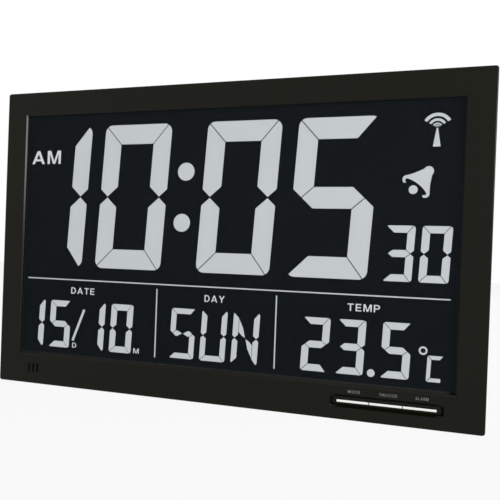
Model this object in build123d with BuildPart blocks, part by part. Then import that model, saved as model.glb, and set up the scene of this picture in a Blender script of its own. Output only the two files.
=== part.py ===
from build123d import *
from dataclasses import dataclass
from math import radians, tan
import os

# A large radio-controlled digital wall clock: slab case, clear window, segment display,
# three keys in the front bezel, fold-out stand and battery bay at the rear.
# Millimetres, +Z up, origin at the middle of the base, display facing -Y.
# Every depth is measured back from the front face of the case.

# Display: time row
DIGIT_WIDTH = 55.95
DIGIT_HEIGHT = 109.26
DIGIT_BAR = 14.27
DIGIT_RAIL = 14.66
DIGIT_GAP = 12.05
DIGIT_SLANT = 0.058
DIGIT_CORNER = 6.0
COLON_GAP = 28.78
COLON_SPREAD = 37.5
COLON_RADIUS = 6.6
AM_FIELD = 40.1
SECONDS_SPACE = 7.91
SECONDS_GAP = 4.33
SECONDS_SLANT = 0.0485

# Display: date, day and temperature row
SMALL_WIDTH = 18.77
SMALL_HEIGHT = 36.7
SMALL_BAR = 4.94
SMALL_RAIL = 4.7
SMALL_GAP = 5.33
SMALL_CORNER = 2.0
DATE_SLANT = 0.0415
DATE_MARGIN = 19.8
SLASH_GAP = 11.88
SLASH_OFFSET = 1.6
SLASH_HEIGHT = 24.5
SLASH_WIDTH = 1.9
SLASH_SLANT = 0.396
LETTER_WIDTH = 19.6
LETTER_BAR = 4.08
LETTER_RAIL = 3.95
LETTER_GAP = 4.8
DAY_SLANT = 0.0435
DAY_FIELD = 92.8
DAY_SHIFT = -1.43
TEMP_MARGIN = 19.28
POINT_GAP = 11.05
POINT_OFFSET = 4.73
POINT_RISE = 2.2
POINT_RADIUS = 2.55
DEGREE_OFFSET = 7.82
DEGREE_RISE = 19.8
DEGREE_RADIUS = 2.75
DEGREE_BORE = 1.6
UNIT_OFFSET = 10.4
UNIT_WIDTH = 10.4
UNIT_HEIGHT = 16.9
UNIT_BAR = 2.47
UNIT_CORNER = 1.0

# Display: margins, divider lines and bar shape
TOP_MARGIN = 9.0
RIGHT_MARGIN = 5.72
BOTTOM_MARGIN = 6.2
LABEL_FIELD = 16.31
LINE_SPACE = 9.78
LINE_THICKNESS = 0.85
LINE_LEFT_MARGIN = 2.4
LINE_RIGHT_MARGIN = 4.8
FIELD_LINE_SPACE = 2.95
FIELD_LINE_DROP = 1.05
SEGMENT_GAP = 0.4
DIGIT_SPLIT = 0.65
TIP_SHARE = 0.43
SHOULDER_SHARE = 0.75
RIGHT_MITRE = 0.81
WAIST_SHARE = 0.9
DIAGONAL_SHARES = ((0.27, 0.83), (0.40, 0.70), (0.50, 0.50), (0.35, 0.55))

# Display: radio mast and bell signs
MAST_MARGIN = 16.95
MAST_DROP = 9.3
MAST_HEIGHT = 12.1
MAST_FOOT = 4.8
MAST_TOP = 0.8
WAVE_RADII = ((9.6, 7.5), (6.0, 4.4), (3.2, 2.3), (1.8, 1.1))
WAVE_ANGLE = 118
BELL_MARGIN = 29.7
BELL_DROP = 48.0
BELL_TILT = 37.9
BELL_CROWN = ((3.2, 13.3), (0, 16.95))
BELL_FLANK = ((4.9, 10.0), (7.2, 6.2), (9.8, 2.8))
BELL_LIP = ((10.1, 0.2), (7.6, -1.6), (6.5, -0.3), (8.2, 0.6), (7.7, 2.0))
BELL_ARCH = 3.3
CLAPPER_DROP = 1.5
CLAPPER_RADIUS = 2.85

# Case
SIDE_BORDER = 18.7
TOP_BORDER = 18.4
BOTTOM_BORDER = 23.5
CASE_DEPTH = 29.0
BEZEL_DEPTH = 17.0
WALL = 2.5
FRONT_WALL = 2.2
CORNER_RADIUS = 2.0
FRONT_EDGE = 0.8
WINDOW_LAND = 1.25
REAR_EDGE = 1.6
LIP_DEPTH = 2.0
LIP_THICKNESS = 1.2
LIP_CLEARANCE = 0.15
LIP_ROOT = 3.0

# Case fastening
BOSS_RADIUS = 3.4
BOSS_GAP = 0.4
BOSS_INSET = 12.0
PILLAR_RADIUS = 4.4
SCREW_RADIUS = 1.4
SCREW_LENGTH = 13.0
SCREW_HEAD_RADIUS = 2.7
SCREW_HEAD_HEIGHT = 1.8
SCREW_SINK = 5.0
SLOT_WIDTH = 0.6
SLOT_DEPTH = 0.8
THREAD_CLEARANCE = 0.05
SHANK_CLEARANCE = 0.2
HEAD_CLEARANCE = 0.3
THREAD_ROOM = 2.0
SMALL_SCREW_RADIUS = 1.0
SMALL_SCREW_LENGTH = 4.2
SMALL_HEAD_RADIUS = 1.9
SMALL_HEAD_HEIGHT = 1.3

# Window and display cell, front to rear
TAPE_THICKNESS = 0.2
TAPE_MARGIN = 1.0
WINDOW_THICKNESS = 1.2
WINDOW_LAP = 5.0
GASKET_THICKNESS = 0.4
GLASS_THICKNESS = 0.7
CELL_GAP = 0.2
SEAL_WIDTH = 2.0
LEDGE = 4.0
REFLECTOR_THICKNESS = 0.2
LCD_CLEARANCE = 0.5
LCD_SIDE_CLEARANCE = 1.5

# Carrier plate and main board
CARRIER_THICKNESS = 2.0
EAR_HEIGHT = 10.0
EAR_INSET = 62.0
ZEBRA_LENGTH = 5.8
ZEBRA_WIDTH = 2.6
ZEBRA_CLEARANCE = 0.2
BOARD_THICKNESS = 1.6
BOARD_GAP = 1.4
BOARD_EDGE = 8.0
MAIN_BOARD_WIDTH = 236.0
MAIN_BOARD_HEIGHT = 44.8
STANDOFF_RADIUS = 2.8
CHIP_SIZE = 14.0
CHIP_HEIGHT = 1.4
CHIP_RISE = 6.0
CRYSTAL_RADIUS = 1.5
CRYSTAL_LENGTH = 8.0
CRYSTAL_SPACE = 30.0

# Front keys
CONTROL_Z = 12.4
KEY_ROW_INSET = 61.4
KEY_LENGTH = 21.2
KEY_HEIGHT = 1.8
KEY_GAP = 0.4
KEY_SINK = 0.2
KEY_TRAVEL = 0.8
KEY_EDGE = 0.5
KEY_STEM_LENGTH = 15.0
KEY_STEM_HEIGHT = 1.5
KEY_FLANGE = 1.5
KEY_FLANGE_THICKNESS = 1.2
KEY_PUSHER = 1.7
KEY_CLEARANCE = 0.15
KEY_REST_GAP = 0.1
KEY_FLOOR_GAP = 0.2
RECESS_MARGIN = 4.3
RECESS_HEIGHT = 8.4
RECESS_DEPTH = 3.0
RECESS_TAPER = 30.0
RECESS_CORNER = 1.5
TUB_WALL = 1.5
KEY_BOARD_DROP = 8.5
KEY_BOARD_RISE = 3.4
KEY_POST_SPACE = 3.0
KEY_POST_RADIUS = 2.4
RIBBON_WIDTH = 9.0
RIBBON_THICKNESS = 0.6
RIBBON_LAP = 5.0

# Key switches
SWITCH_SIZE = 6.0
SWITCH_FLOOR = 1.2
PLUNGER_RADIUS = 1.7
PLUNGER_GRIP = 1.2
PLUNGER_CLEARANCE = 0.05
PLUNGER_END_GAP = 0.3

# Rear keys
REAR_KEY_X = -88.0
REAR_KEY_PITCH = 24.0
REAR_KEY_Z = 40.0
REAR_KEY_RADIUS = 4.5
REAR_KEY_SINK = 0.3
REAR_KEY_CAP = 1.4
REAR_KEY_STEM = 3.6
REAR_WELL_RADIUS = 7.0
SIGN_LENGTH = 4.6
SIGN_WIDTH = 0.9
SIGN_DEPTH = 0.3

# Temperature sensor and its vents
VENT_INSET = 32.1
VENT_PITCH = 3.8
VENT_WIDTH = 1.5
VENT_HEIGHT = 6.8
SENSOR_BOARD_WIDTH = 17.0
SENSOR_BOARD_HEIGHT = 8.6
SENSOR_BOARD_THICKNESS = 1.0
SENSOR_SPACE = 3.8
SENSOR_POST_RADIUS = 1.0
SENSOR_SIZE = 3.0
SENSOR_HEIGHT = 2.2
SENSOR_ROUND = 0.6
SENSOR_PAD_SPACE = 4.0

# Radio receiver
ANTENNA_Z = 195.0
ROD_RADIUS = 4.0
ROD_LENGTH = 60.0
ROD_CLEARANCE = 0.1
COIL_LENGTH = 24.0
COIL_THICKNESS = 1.1
COIL_CLEARANCE = 0.4
SADDLE_LENGTH = 6.0
SADDLE_HEIGHT = 12.0
HOLDER_THICKNESS = 1.5
RECEIVER_SPACE = 30.0
RECEIVER_WIDTH = 26.0
RECEIVER_HEIGHT = 16.0
RECEIVER_STANDOFF = 3.2
RECEIVER_POST_RADIUS = 1.6

# Buzzer
BUZZER_X = -95.0
BUZZER_Z = 105.0
BUZZER_RADIUS = 12.0
BUZZER_HEIGHT = 5.0
BUZZER_CUP_WALL = 1.2
BUZZER_CUP_DEPTH = 3.5
BUZZER_CLEARANCE = 0.1
BUZZER_PORT = 0.9
SOUND_HOLE_RADIUS = 1.0
SOUND_RING_RADIUS = 5.0
SOUND_HOLES = 6

# Battery bay and door
BATTERY_X = 95.0
BATTERY_Z = 105.0
BATTERY_RADIUS = 7.25
BATTERY_LENGTH = 50.5
NUB_RADIUS = 2.75
NUB_LENGTH = 1.3
BATTERY_GAP = 0.6
BATTERY_SEAT_GAP = 0.1
BATTERY_ROUND = 0.6
BAY_WALL = 1.6
BAY_FLOOR = 1.5
CONTACT_THICKNESS = 0.4
CONTACT_WIDTH = 8.0
CONTACT_MARGIN = 1.5
LEAF_SPACE = 4.0
LEAF_CLEARANCE = 0.05
LEAF_SPAN = 10.0
TAIL_WIDTH = 4.0
TAIL_LENGTH = 2.0
TAIL_CLEARANCE = 0.1
DOOR_THICKNESS = 2.0
DOOR_SINK = 0.1
DOOR_LAP = 2.5
DOOR_GAP = 0.3
DOOR_SEAT_GAP = 0.1
DOOR_PIN_RADIUS = 0.7
DOOR_PIN_LENGTH = 1.6
COLLAR_WIDTH = 3.5
COLLAR_DEPTH = 2.5
DOOR_SCOOP_RADIUS = 7.0
DOOR_SCOOP_DEPTH = 1.6
GRIP_COUNT = 4
GRIP_PITCH = 2.0
GRIP_WIDTH = 0.8
GRIP_DEPTH = 0.4
GRIP_LENGTH = 20.0

# Fold-out stand
LEG_FOOT = 7.0
LEG_WIDTH = 70.0
LEG_LENGTH = 111.0
LEG_THICKNESS = 4.0
LEG_SINK = 0.2
LEG_CORNER = 6.0
LEG_GAP = 0.5
LEG_PANEL_MARGIN = 10.0
LEG_PANEL_DEPTH = 0.8
PAD_WIDTH = 36.0
PAD_HEIGHT = 1.2
POCKET_DEPTH = 5.0
POCKET_WALL = 1.5
LEG_SCOOP_RADIUS = 9.0
LEG_SCOOP_RISE = 22.0
STAND_PIN_RADIUS = 1.0
STAND_PIN_BITE = 4.0
STAND_PIN_CLEARANCE = 0.05
PIN_BLOCK = 6.0
PIN_BLOCK_HEIGHT = 8.0

# Wall keyholes
KEYHOLE_X = 100.0
KEYHOLE_Z = 188.0
KEYHOLE_RADIUS = 4.5
KEYHOLE_SLOT_RADIUS = 2.2
KEYHOLE_RISE = 9.0

# Wires
WIRE_RADIUS = 0.5
WIRE_PITCH = 3.0
SOLDER_INSET = 10.0
SOLDER_RISE = 6.0
RUN_SHARE = 0.45

# Sizes worked out from the driving dimensions
WINDOW_WIDTH = (AM_FIELD + DIGIT_BAR + 3 * DIGIT_WIDTH + 2 * DIGIT_GAP + COLON_GAP
                + SECONDS_SPACE + 2 * SMALL_WIDTH + SECONDS_GAP + RIGHT_MARGIN)
WINDOW_HEIGHT = (TOP_MARGIN + DIGIT_HEIGHT + LINE_SPACE + LINE_THICKNESS
                 + LABEL_FIELD + SMALL_HEIGHT + BOTTOM_MARGIN)
CASE_WIDTH = WINDOW_WIDTH + 2 * SIDE_BORDER
CASE_HEIGHT = WINDOW_HEIGHT + TOP_BORDER + BOTTOM_BORDER
CASE_MID = CASE_HEIGHT / 2
CAVITY_WIDTH = CASE_WIDTH - 2 * WALL
CAVITY_HEIGHT = CASE_HEIGHT - 2 * WALL
CAVITY_CORNER = max(CORNER_RADIUS - WALL, LIP_CLEARANCE)
REAR_INNER = CASE_DEPTH - WALL
WINDOW_LEFT = -WINDOW_WIDTH / 2
WINDOW_RIGHT = WINDOW_WIDTH / 2
WINDOW_TOP = BOTTOM_BORDER + WINDOW_HEIGHT
WINDOW_MID = BOTTOM_BORDER + WINDOW_HEIGHT / 2

TIME_TOP = WINDOW_TOP - TOP_MARGIN
TIME_BASE = TIME_TOP - DIGIT_HEIGHT
TIME_MID = TIME_BASE + DIGIT_HEIGHT / 2
HOUR_LEFT = WINDOW_LEFT + AM_FIELD + DIGIT_BAR + DIGIT_GAP
HOUR_TENS_LEFT = HOUR_LEFT - DIGIT_GAP - DIGIT_WIDTH
MINUTE_TENS_LEFT = HOUR_LEFT + DIGIT_WIDTH + COLON_GAP
MINUTE_LEFT = MINUTE_TENS_LEFT + DIGIT_WIDTH + DIGIT_GAP
SECONDS_TENS_LEFT = MINUTE_LEFT + DIGIT_WIDTH + SECONDS_SPACE
SECONDS_LEFT = SECONDS_TENS_LEFT + SMALL_WIDTH + SECONDS_GAP
LINE_TOP = TIME_BASE - LINE_SPACE
LINE_BASE = LINE_TOP - LINE_THICKNESS
SMALL_BASE = BOTTOM_BORDER + BOTTOM_MARGIN
DATE_LINE = DAY_SHIFT - DAY_FIELD / 2
TEMP_LINE = DAY_SHIFT + DAY_FIELD / 2
MONTH_LEFT = DATE_LINE - DATE_MARGIN - SMALL_WIDTH
MONTH_TENS_LEFT = MONTH_LEFT - SMALL_GAP - SMALL_WIDTH
DATE_LEFT = MONTH_TENS_LEFT - SLASH_GAP - SMALL_WIDTH
DATE_TENS_LEFT = DATE_LEFT - SMALL_GAP - SMALL_WIDTH
TEMP_TENS_LEFT = TEMP_LINE + TEMP_MARGIN
TEMP_LEFT = TEMP_TENS_LEFT + SMALL_WIDTH + SMALL_GAP
TEMP_TENTHS_LEFT = TEMP_LEFT + SMALL_WIDTH + POINT_GAP
TEMP_RIGHT = TEMP_TENTHS_LEFT + SMALL_WIDTH
DAY_LEFT = DAY_SHIFT - (3 * LETTER_WIDTH + 2 * LETTER_GAP) / 2

KEY_PITCH = KEY_LENGTH + KEY_GAP
KEY_ROW_X = CASE_WIDTH / 2 - KEY_ROW_INSET
KEY_XS = [KEY_ROW_X + step * KEY_PITCH for step in (-1, 0, 1)]
RECESS_LENGTH = 3 * KEY_LENGTH + 2 * KEY_GAP + 2 * RECESS_MARGIN
KEY_FLOOR_REAR = RECESS_DEPTH + TUB_WALL
KEY_CAP_REAR = RECESS_DEPTH - KEY_TRAVEL - KEY_FLOOR_GAP
KEY_FLANGE_FRONT = KEY_FLOOR_REAR + KEY_REST_GAP
KEY_FLANGE_REAR = KEY_FLANGE_FRONT + KEY_FLANGE_THICKNESS
PLUNGER_PROUD = KEY_TRAVEL + KEY_FLOOR_GAP
PLUNGER_LENGTH = PLUNGER_PROUD + PLUNGER_GRIP
PLUNGER_ROOM = PLUNGER_GRIP + KEY_TRAVEL + PLUNGER_END_GAP
SWITCH_HEIGHT = PLUNGER_ROOM + SWITCH_FLOOR
PLUNGER_FRONT = KEY_FLANGE_REAR + KEY_PUSHER
SWITCH_FRONT = PLUNGER_FRONT + PLUNGER_PROUD
KEY_BOARD_FRONT = SWITCH_FRONT + SWITCH_HEIGHT
KEY_BOARD_REAR = KEY_BOARD_FRONT + BOARD_THICKNESS
KEY_BOARD_TOP = CONTROL_Z + KEY_BOARD_RISE
KEY_POST_XS = [KEY_ROW_X + side * (RECESS_LENGTH / 2 - KEY_POST_SPACE + KEY_POST_RADIUS) for side in (-1, 1)]
KEY_BOARD_WIDTH = RECESS_LENGTH + 2 * (2 * KEY_POST_RADIUS - KEY_POST_SPACE + TUB_WALL)

BOSS_X = CAVITY_WIDTH / 2 - LIP_CLEARANCE - LIP_THICKNESS - BOSS_GAP - BOSS_RADIUS
BOSSES = [(side * BOSS_X, z) for side in (-1, 1) for z in (BOSS_INSET, CASE_MID, CASE_HEIGHT - BOSS_INSET)]
EARS = [(side * BOSS_X, z) for side in (-1, 1) for z in (EAR_INSET, CASE_HEIGHT - EAR_INSET)]
LCD_WIDTH = 2 * (BOSS_X - BOSS_RADIUS - LCD_SIDE_CLEARANCE)
LCD_BASE = CONTROL_Z + RECESS_HEIGHT / 2 + TUB_WALL + LCD_CLEARANCE
LCD_TOP = WINDOW_TOP + WINDOW_LAP
LCD_HEIGHT = LCD_TOP - LCD_BASE
LCD_MID = (LCD_TOP + LCD_BASE) / 2
REAR_GLASS_BASE = LCD_BASE + LEDGE
REAR_GLASS_HEIGHT = LCD_TOP - REAR_GLASS_BASE
REAR_GLASS_MID = (LCD_TOP + REAR_GLASS_BASE) / 2

WINDOW_EDGE = FRONT_WALL - WINDOW_LAND
WINDOW_FRONT = FRONT_WALL + TAPE_THICKNESS
GASKET_FRONT = WINDOW_FRONT + WINDOW_THICKNESS
GLASS_FRONT = GASKET_FRONT + GASKET_THICKNESS
CELL_FRONT = GLASS_FRONT + GLASS_THICKNESS
REAR_GLASS_FRONT = CELL_FRONT + CELL_GAP
REFLECTOR_FRONT = REAR_GLASS_FRONT + GLASS_THICKNESS
CARRIER_FRONT = REFLECTOR_FRONT + REFLECTOR_THICKNESS
CARRIER_REAR = CARRIER_FRONT + CARRIER_THICKNESS
BOARD_FRONT = CELL_FRONT + ZEBRA_LENGTH
BOARD_REAR = BOARD_FRONT + BOARD_THICKNESS
BOARD_CORE = (BOARD_FRONT + BOARD_REAR) / 2
BOARD_BASE = KEY_BOARD_TOP + BOARD_GAP
BOARD_TOP = BOARD_BASE + MAIN_BOARD_HEIGHT
BOARD_MID = (BOARD_BASE + BOARD_TOP) / 2
ZEBRA_Z = LCD_BASE + LEDGE / 2
ZEBRA_SPAN = MAIN_BOARD_WIDTH - 2 * BOARD_EDGE
STANDOFFS = [(side * (MAIN_BOARD_WIDTH / 2 - BOARD_EDGE), z) for side in (-1, 1)
             for z in (ZEBRA_Z + BOARD_EDGE, BOARD_TOP - BOARD_EDGE)]

REAR_KEY_XS = [REAR_KEY_X + side * REAR_KEY_PITCH / 2 for side in (-1, 1)]
REAR_CAP_REAR = CASE_DEPTH - REAR_KEY_SINK
REAR_CAP_FRONT = REAR_CAP_REAR - REAR_KEY_CAP
REAR_WELL_FLOOR = REAR_CAP_FRONT - KEY_TRAVEL - KEY_FLOOR_GAP
REAR_WELL_FRONT = REAR_WELL_FLOOR - TUB_WALL
REAR_FLANGE_REAR = REAR_WELL_FRONT - KEY_REST_GAP
REAR_FLANGE_FRONT = REAR_FLANGE_REAR - KEY_FLANGE_THICKNESS
REAR_SWITCH_REAR = BOARD_REAR + SWITCH_HEIGHT
REAR_PLUNGER_REAR = REAR_SWITCH_REAR + PLUNGER_PROUD

VENT_X = -CASE_WIDTH / 2 + VENT_INSET
SENSOR_BOARD_FRONT = FRONT_WALL + SENSOR_SPACE
SENSOR_BOARD_REAR = SENSOR_BOARD_FRONT + SENSOR_BOARD_THICKNESS
SENSOR_POST_XS = [VENT_X + side * (SENSOR_BOARD_WIDTH / 2 - SENSOR_POST_RADIUS) for side in (-1, 1)]

COIL_BORE = ROD_RADIUS + ROD_CLEARANCE
COIL_RADIUS = COIL_BORE + COIL_THICKNESS
ROD_DEPTH = CARRIER_REAR + HOLDER_THICKNESS + COIL_CLEARANCE + COIL_RADIUS
RECEIVER_X = -ROD_LENGTH / 2 - RECEIVER_SPACE
RECEIVER_FRONT = CARRIER_REAR + RECEIVER_STANDOFF
RECEIVER_CORE = RECEIVER_FRONT + BOARD_THICKNESS / 2
RECEIVER_EDGE = RECEIVER_X + RECEIVER_WIDTH / 2
RECEIVER_BASE = ANTENNA_Z - RECEIVER_HEIGHT / 2
BUZZER_FRONT = REAR_INNER - BUZZER_HEIGHT

DOOR_REAR = CASE_DEPTH - DOOR_SINK
DOOR_FRONT = DOOR_REAR - DOOR_THICKNESS
DOOR_AXIS_DEPTH = DOOR_REAR - DOOR_THICKNESS / 2
BATTERY_DEPTH = DOOR_FRONT - BATTERY_SEAT_GAP - BATTERY_RADIUS
BAY_FLOOR_REAR = BATTERY_DEPTH - BATTERY_RADIUS - BATTERY_SEAT_GAP
BAY_FLOOR_FRONT = BAY_FLOOR_REAR - BAY_FLOOR
BAY_LENGTH = BATTERY_LENGTH + LEAF_SPACE + 2 * CONTACT_THICKNESS
BAY_HEIGHT = 4 * BATTERY_RADIUS + 3 * BATTERY_GAP
BAY_LEFT = BATTERY_X - BAY_LENGTH / 2
BAY_RIGHT = BATTERY_X + BAY_LENGTH / 2
BATTERY_SPACING = 2 * BATTERY_RADIUS + BATTERY_GAP
LOWER_BATTERY_Z = BATTERY_Z - BATTERY_SPACING / 2
UPPER_BATTERY_Z = BATTERY_Z + BATTERY_SPACING / 2
DOOR_LENGTH = BAY_LENGTH + 2 * DOOR_LAP
DOOR_HEIGHT = BAY_HEIGHT + 2 * DOOR_LAP
DOOR_BASE = BATTERY_Z - DOOR_HEIGHT / 2
DOOR_TOP = BATTERY_Z + DOOR_HEIGHT / 2
DOOR_AXIS_Z = DOOR_BASE + DOOR_THICKNESS / 2
WIRE_DEPTH = (CARRIER_REAR + BAY_FLOOR_FRONT) / 2

LEG_REAR = CASE_DEPTH - LEG_SINK
LEG_FRONT = LEG_REAR - LEG_THICKNESS
STAND_AXIS_Z = LEG_FOOT + LEG_LENGTH
STAND_AXIS_DEPTH = LEG_REAR - LEG_THICKNESS / 2
POCKET_FLOOR = CASE_DEPTH - POCKET_DEPTH
POCKET_FRONT = POCKET_FLOOR - POCKET_WALL
POCKET_WIDTH = LEG_WIDTH + 2 * LEG_GAP
POCKET_TOP = STAND_AXIS_Z + LEG_THICKNESS / 2 + LEG_GAP
POCKET_BASE = LEG_FOOT - PAD_HEIGHT - LEG_GAP
LEG_SCOOPS = [(side * POCKET_WIDTH / 2, LEG_FOOT + LEG_SCOOP_RISE) for side in (-1, 1)]


@dataclass(frozen=True)
class CellStyle:
    """Proportions of one kind of display character."""

    width: float
    height: float
    bar: float
    rail: float
    slant: float
    corner: float
    gap: float = SEGMENT_GAP


TIME_CELL = CellStyle(DIGIT_WIDTH, DIGIT_HEIGHT, DIGIT_BAR, DIGIT_RAIL, DIGIT_SLANT, DIGIT_CORNER,
                      DIGIT_SPLIT)
SECONDS_CELL = CellStyle(SMALL_WIDTH, SMALL_HEIGHT, SMALL_BAR, SMALL_RAIL, SECONDS_SLANT, SMALL_CORNER)
DATE_CELL = CellStyle(SMALL_WIDTH, SMALL_HEIGHT, SMALL_BAR, SMALL_RAIL, DATE_SLANT, SMALL_CORNER)
DAY_CELL = CellStyle(LETTER_WIDTH, SMALL_HEIGHT, LETTER_BAR, LETTER_RAIL, DAY_SLANT, SMALL_CORNER)
UNIT_CELL = CellStyle(UNIT_WIDTH, UNIT_HEIGHT, UNIT_BAR, UNIT_BAR, DATE_SLANT, UNIT_CORNER)

# Lit bars of each character; the letters split the middle rail and add diagonals
GLYPHS = {
    "0": ("top", "bottom", "upper left", "upper right", "lower left", "lower right"),
    "1": ("upper right", "lower right"),
    "2": ("top", "upper right", "middle", "lower left", "bottom"),
    "3": ("top", "upper right", "middle", "lower right", "bottom"),
    "5": ("top", "upper left", "middle", "lower right", "bottom"),
    "S": ("top", "upper left", "middle left", "middle right", "lower right", "bottom"),
    "U": ("upper left", "lower left", "upper right", "lower right", "bottom"),
    "N": ("upper left", "lower left", "upper right", "lower right", "falling upper", "falling lower"),
    "C": ("top", "left", "square bottom"),
}


def y_at(depth):
    """The Y coordinate of a depth behind the front face."""
    return depth - CASE_DEPTH / 2


def front_plane(depth):
    """A sketch plane that faces the viewer at a depth, with sketch axes along X and Z."""
    return Plane.XZ.offset(-y_at(depth))


def block(x, z, width, height, front, rear, mode=Mode.ADD, corner=0.0):
    """Add or cut an upright block between two depths, centred on x and z."""
    with BuildSketch(front_plane(front)) as outline:
        with Locations((x, z)):
            Rectangle(width, height)
        if corner:
            fillet(outline.vertices(), corner)
    extrude(outline.sketch, amount=front - rear, mode=mode)


def frame(x, z, width, height, hole_z, hole_width, hole_height, front, rear):
    """Add a flat rectangular frame between two depths."""
    block(x, z, width, height, front, rear)
    block(x, hole_z, hole_width, hole_height, front, rear, Mode.SUBTRACT)


def post(x, z, radius, front, rear, mode=Mode.ADD):
    """Add or cut a round post that runs front to rear."""
    with BuildSketch(front_plane(front)) as outline:
        with Locations((x, z)):
            Circle(radius)
    extrude(outline.sketch, amount=front - rear, mode=mode)


def rod(depth, z, radius, left, right, mode=Mode.ADD):
    """Add or cut a round rod that runs along X."""
    with BuildSketch(Plane.YZ.offset(left)) as outline:
        with Locations((y_at(depth), z)):
            Circle(radius)
    extrude(outline.sketch, amount=right - left, mode=mode)


def screw(x, z, seat, radius, length, head_radius, head_height):
    """Add a cross-slotted screw whose head sits on a seat and whose shank runs forwards."""
    post(x, z, radius, seat - length, seat)
    post(x, z, head_radius, seat, seat + head_height)
    for width, height in ((head_radius, SLOT_WIDTH), (SLOT_WIDTH, head_radius)):
        block(x, z, width, height, seat + head_height - SLOT_DEPTH, seat + head_height, Mode.SUBTRACT)


def small_screw(x, z, seat):
    """Add one of the small screws that hold boards and the carrier."""
    screw(x, z, seat, SMALL_SCREW_RADIUS, SMALL_SCREW_LENGTH, SMALL_HEAD_RADIUS, SMALL_HEAD_HEIGHT)


def run_wire(points):
    """Sweep a wire through points of x, depth and z, with arcs as large as its runs allow."""
    corners = [Vector(x, y_at(depth), z) for x, depth, z in points]
    bends = []
    for before, here, after in zip(corners, corners[1:], corners[2:]):
        turn = (here - before).get_angle(after - here)
        reach = RUN_SHARE * min((here - before).length, (after - here).length)
        bends.append(reach / tan(radians(turn) / 2))
    print("wire bend radii:", ", ".join(f"{bend:.1f}" for bend in bends))
    with BuildLine() as path:
        FilletPolyline(*corners, radius=bends)
    with BuildSketch(Plane(origin=corners[0], z_dir=corners[1] - corners[0])) as section:
        Circle(WIRE_RADIUS)
    sweep(section.sketch, path=path.line)


def inset(points, distance):
    """Move every side of a polygon inwards by a distance."""
    corners = [Vector(x, z) for x, z in points]
    following = corners[1:] + corners[:1]
    turning = sum(here.X * after.Y - here.Y * after.X for here, after in zip(corners, following))
    side = distance if turning > 0 else -distance
    moved = []
    for before, here, after in zip(corners[-1:] + corners[:-1], corners, following):
        first = (here - before).normalized().rotate(Axis.Z, 90)
        second = (after - here).normalized().rotate(Axis.Z, 90)
        moved.append(here + (first + second) * (side / (1 + first.dot(second))))
    return [(corner.X, corner.Y) for corner in moved]


def bar_outlines(style):
    """Outlines of every bar of a character, from its lower left corner, half a gap oversize."""
    width = style.width + style.gap
    height = style.height + style.gap
    bar = style.bar + style.gap
    rail = style.rail + style.gap
    half = rail / 2
    mid = height / 2
    centre = width / 2
    tip = TIP_SHARE * bar
    shoulder = SHOULDER_SHARE * half
    waist = WAIST_SHARE * bar
    right = width - bar
    mitre = right + RIGHT_MITRE * rail
    diagonal = [(width * across, height * up) for across, up in DIAGONAL_SHARES]
    falling = [(bar, height - rail), *diagonal, (bar, mid + 2 * half)]
    upper_right = [(right, height - rail), (mitre, height), (width, height),
                   (width, mid + shoulder), (width - tip, mid), (right, mid + half)]
    return {
        "top": [(bar, height - rail), (right, height - rail), (mitre, height), (0, height)],
        "bottom": [(bar, rail), (right, rail), (mitre, 0), (0, 0)],
        "square bottom": [(bar, rail), (right + half, rail), (right + half, 0), (0, 0)],
        "left": [(bar, height - rail), (0, height), (0, 0), (bar, rail)],
        "upper left": [(bar, height - rail), (0, height), (0, mid + shoulder), (tip, mid), (bar, mid + half)],
        "lower left": [(bar, rail), (0, 0), (0, mid - shoulder), (tip, mid), (bar, mid - half)],
        "upper right": upper_right,
        "lower right": [(x, height - z) for x, z in upper_right],
        "middle": [(tip, mid), (bar, mid + half), (right, mid + half),
                   (width - tip, mid), (right, mid - half), (bar, mid - half)],
        "middle left": [(tip, mid), (bar, mid + half), (centre - waist, mid + half),
                        (centre, mid), (centre - waist, mid - half), (bar, mid - half)],
        "middle right": [(centre, mid), (centre + waist, mid + half), (right, mid + half),
                         (width - tip, mid), (right, mid - half), (centre + waist, mid - half)],
        "falling upper": falling,
        "falling lower": [(width - x, height - z) for x, z in falling],
    }


def character(glyph, left, base, style):
    """Add the lit bars of one character; left is taken at half its height."""
    margin = style.gap / 2

    def place(x, z):
        return left - margin + x + style.slant * (z - margin - style.height / 2), base - margin + z

    bars = bar_outlines(style)
    rim = [(margin, margin), (margin + style.width, margin),
           (margin + style.width, margin + style.height), (margin, margin + style.height)]
    for name in GLYPHS[glyph]:
        with BuildSketch(front_plane(CELL_FRONT)) as lit:
            Polygon(*[place(x, z) for x, z in rim], align=None)
            fillet(lit.vertices(), style.corner)
            Polygon(*inset([place(x, z) for x, z in bars[name]], margin), align=None, mode=Mode.INTERSECT)
        extrude(lit.sketch, amount=-CELL_GAP)


def key_switches(places, face, direction):
    """Add switch bodies that stand on a board face, with a blind bore for each plunger."""
    for x, z in places:
        top = face + direction * SWITCH_HEIGHT
        block(x, z, SWITCH_SIZE, SWITCH_SIZE, face, top)
        bore = top - direction * PLUNGER_ROOM
        post(x, z, PLUNGER_RADIUS + PLUNGER_CLEARANCE, bore, top, Mode.SUBTRACT)


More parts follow.
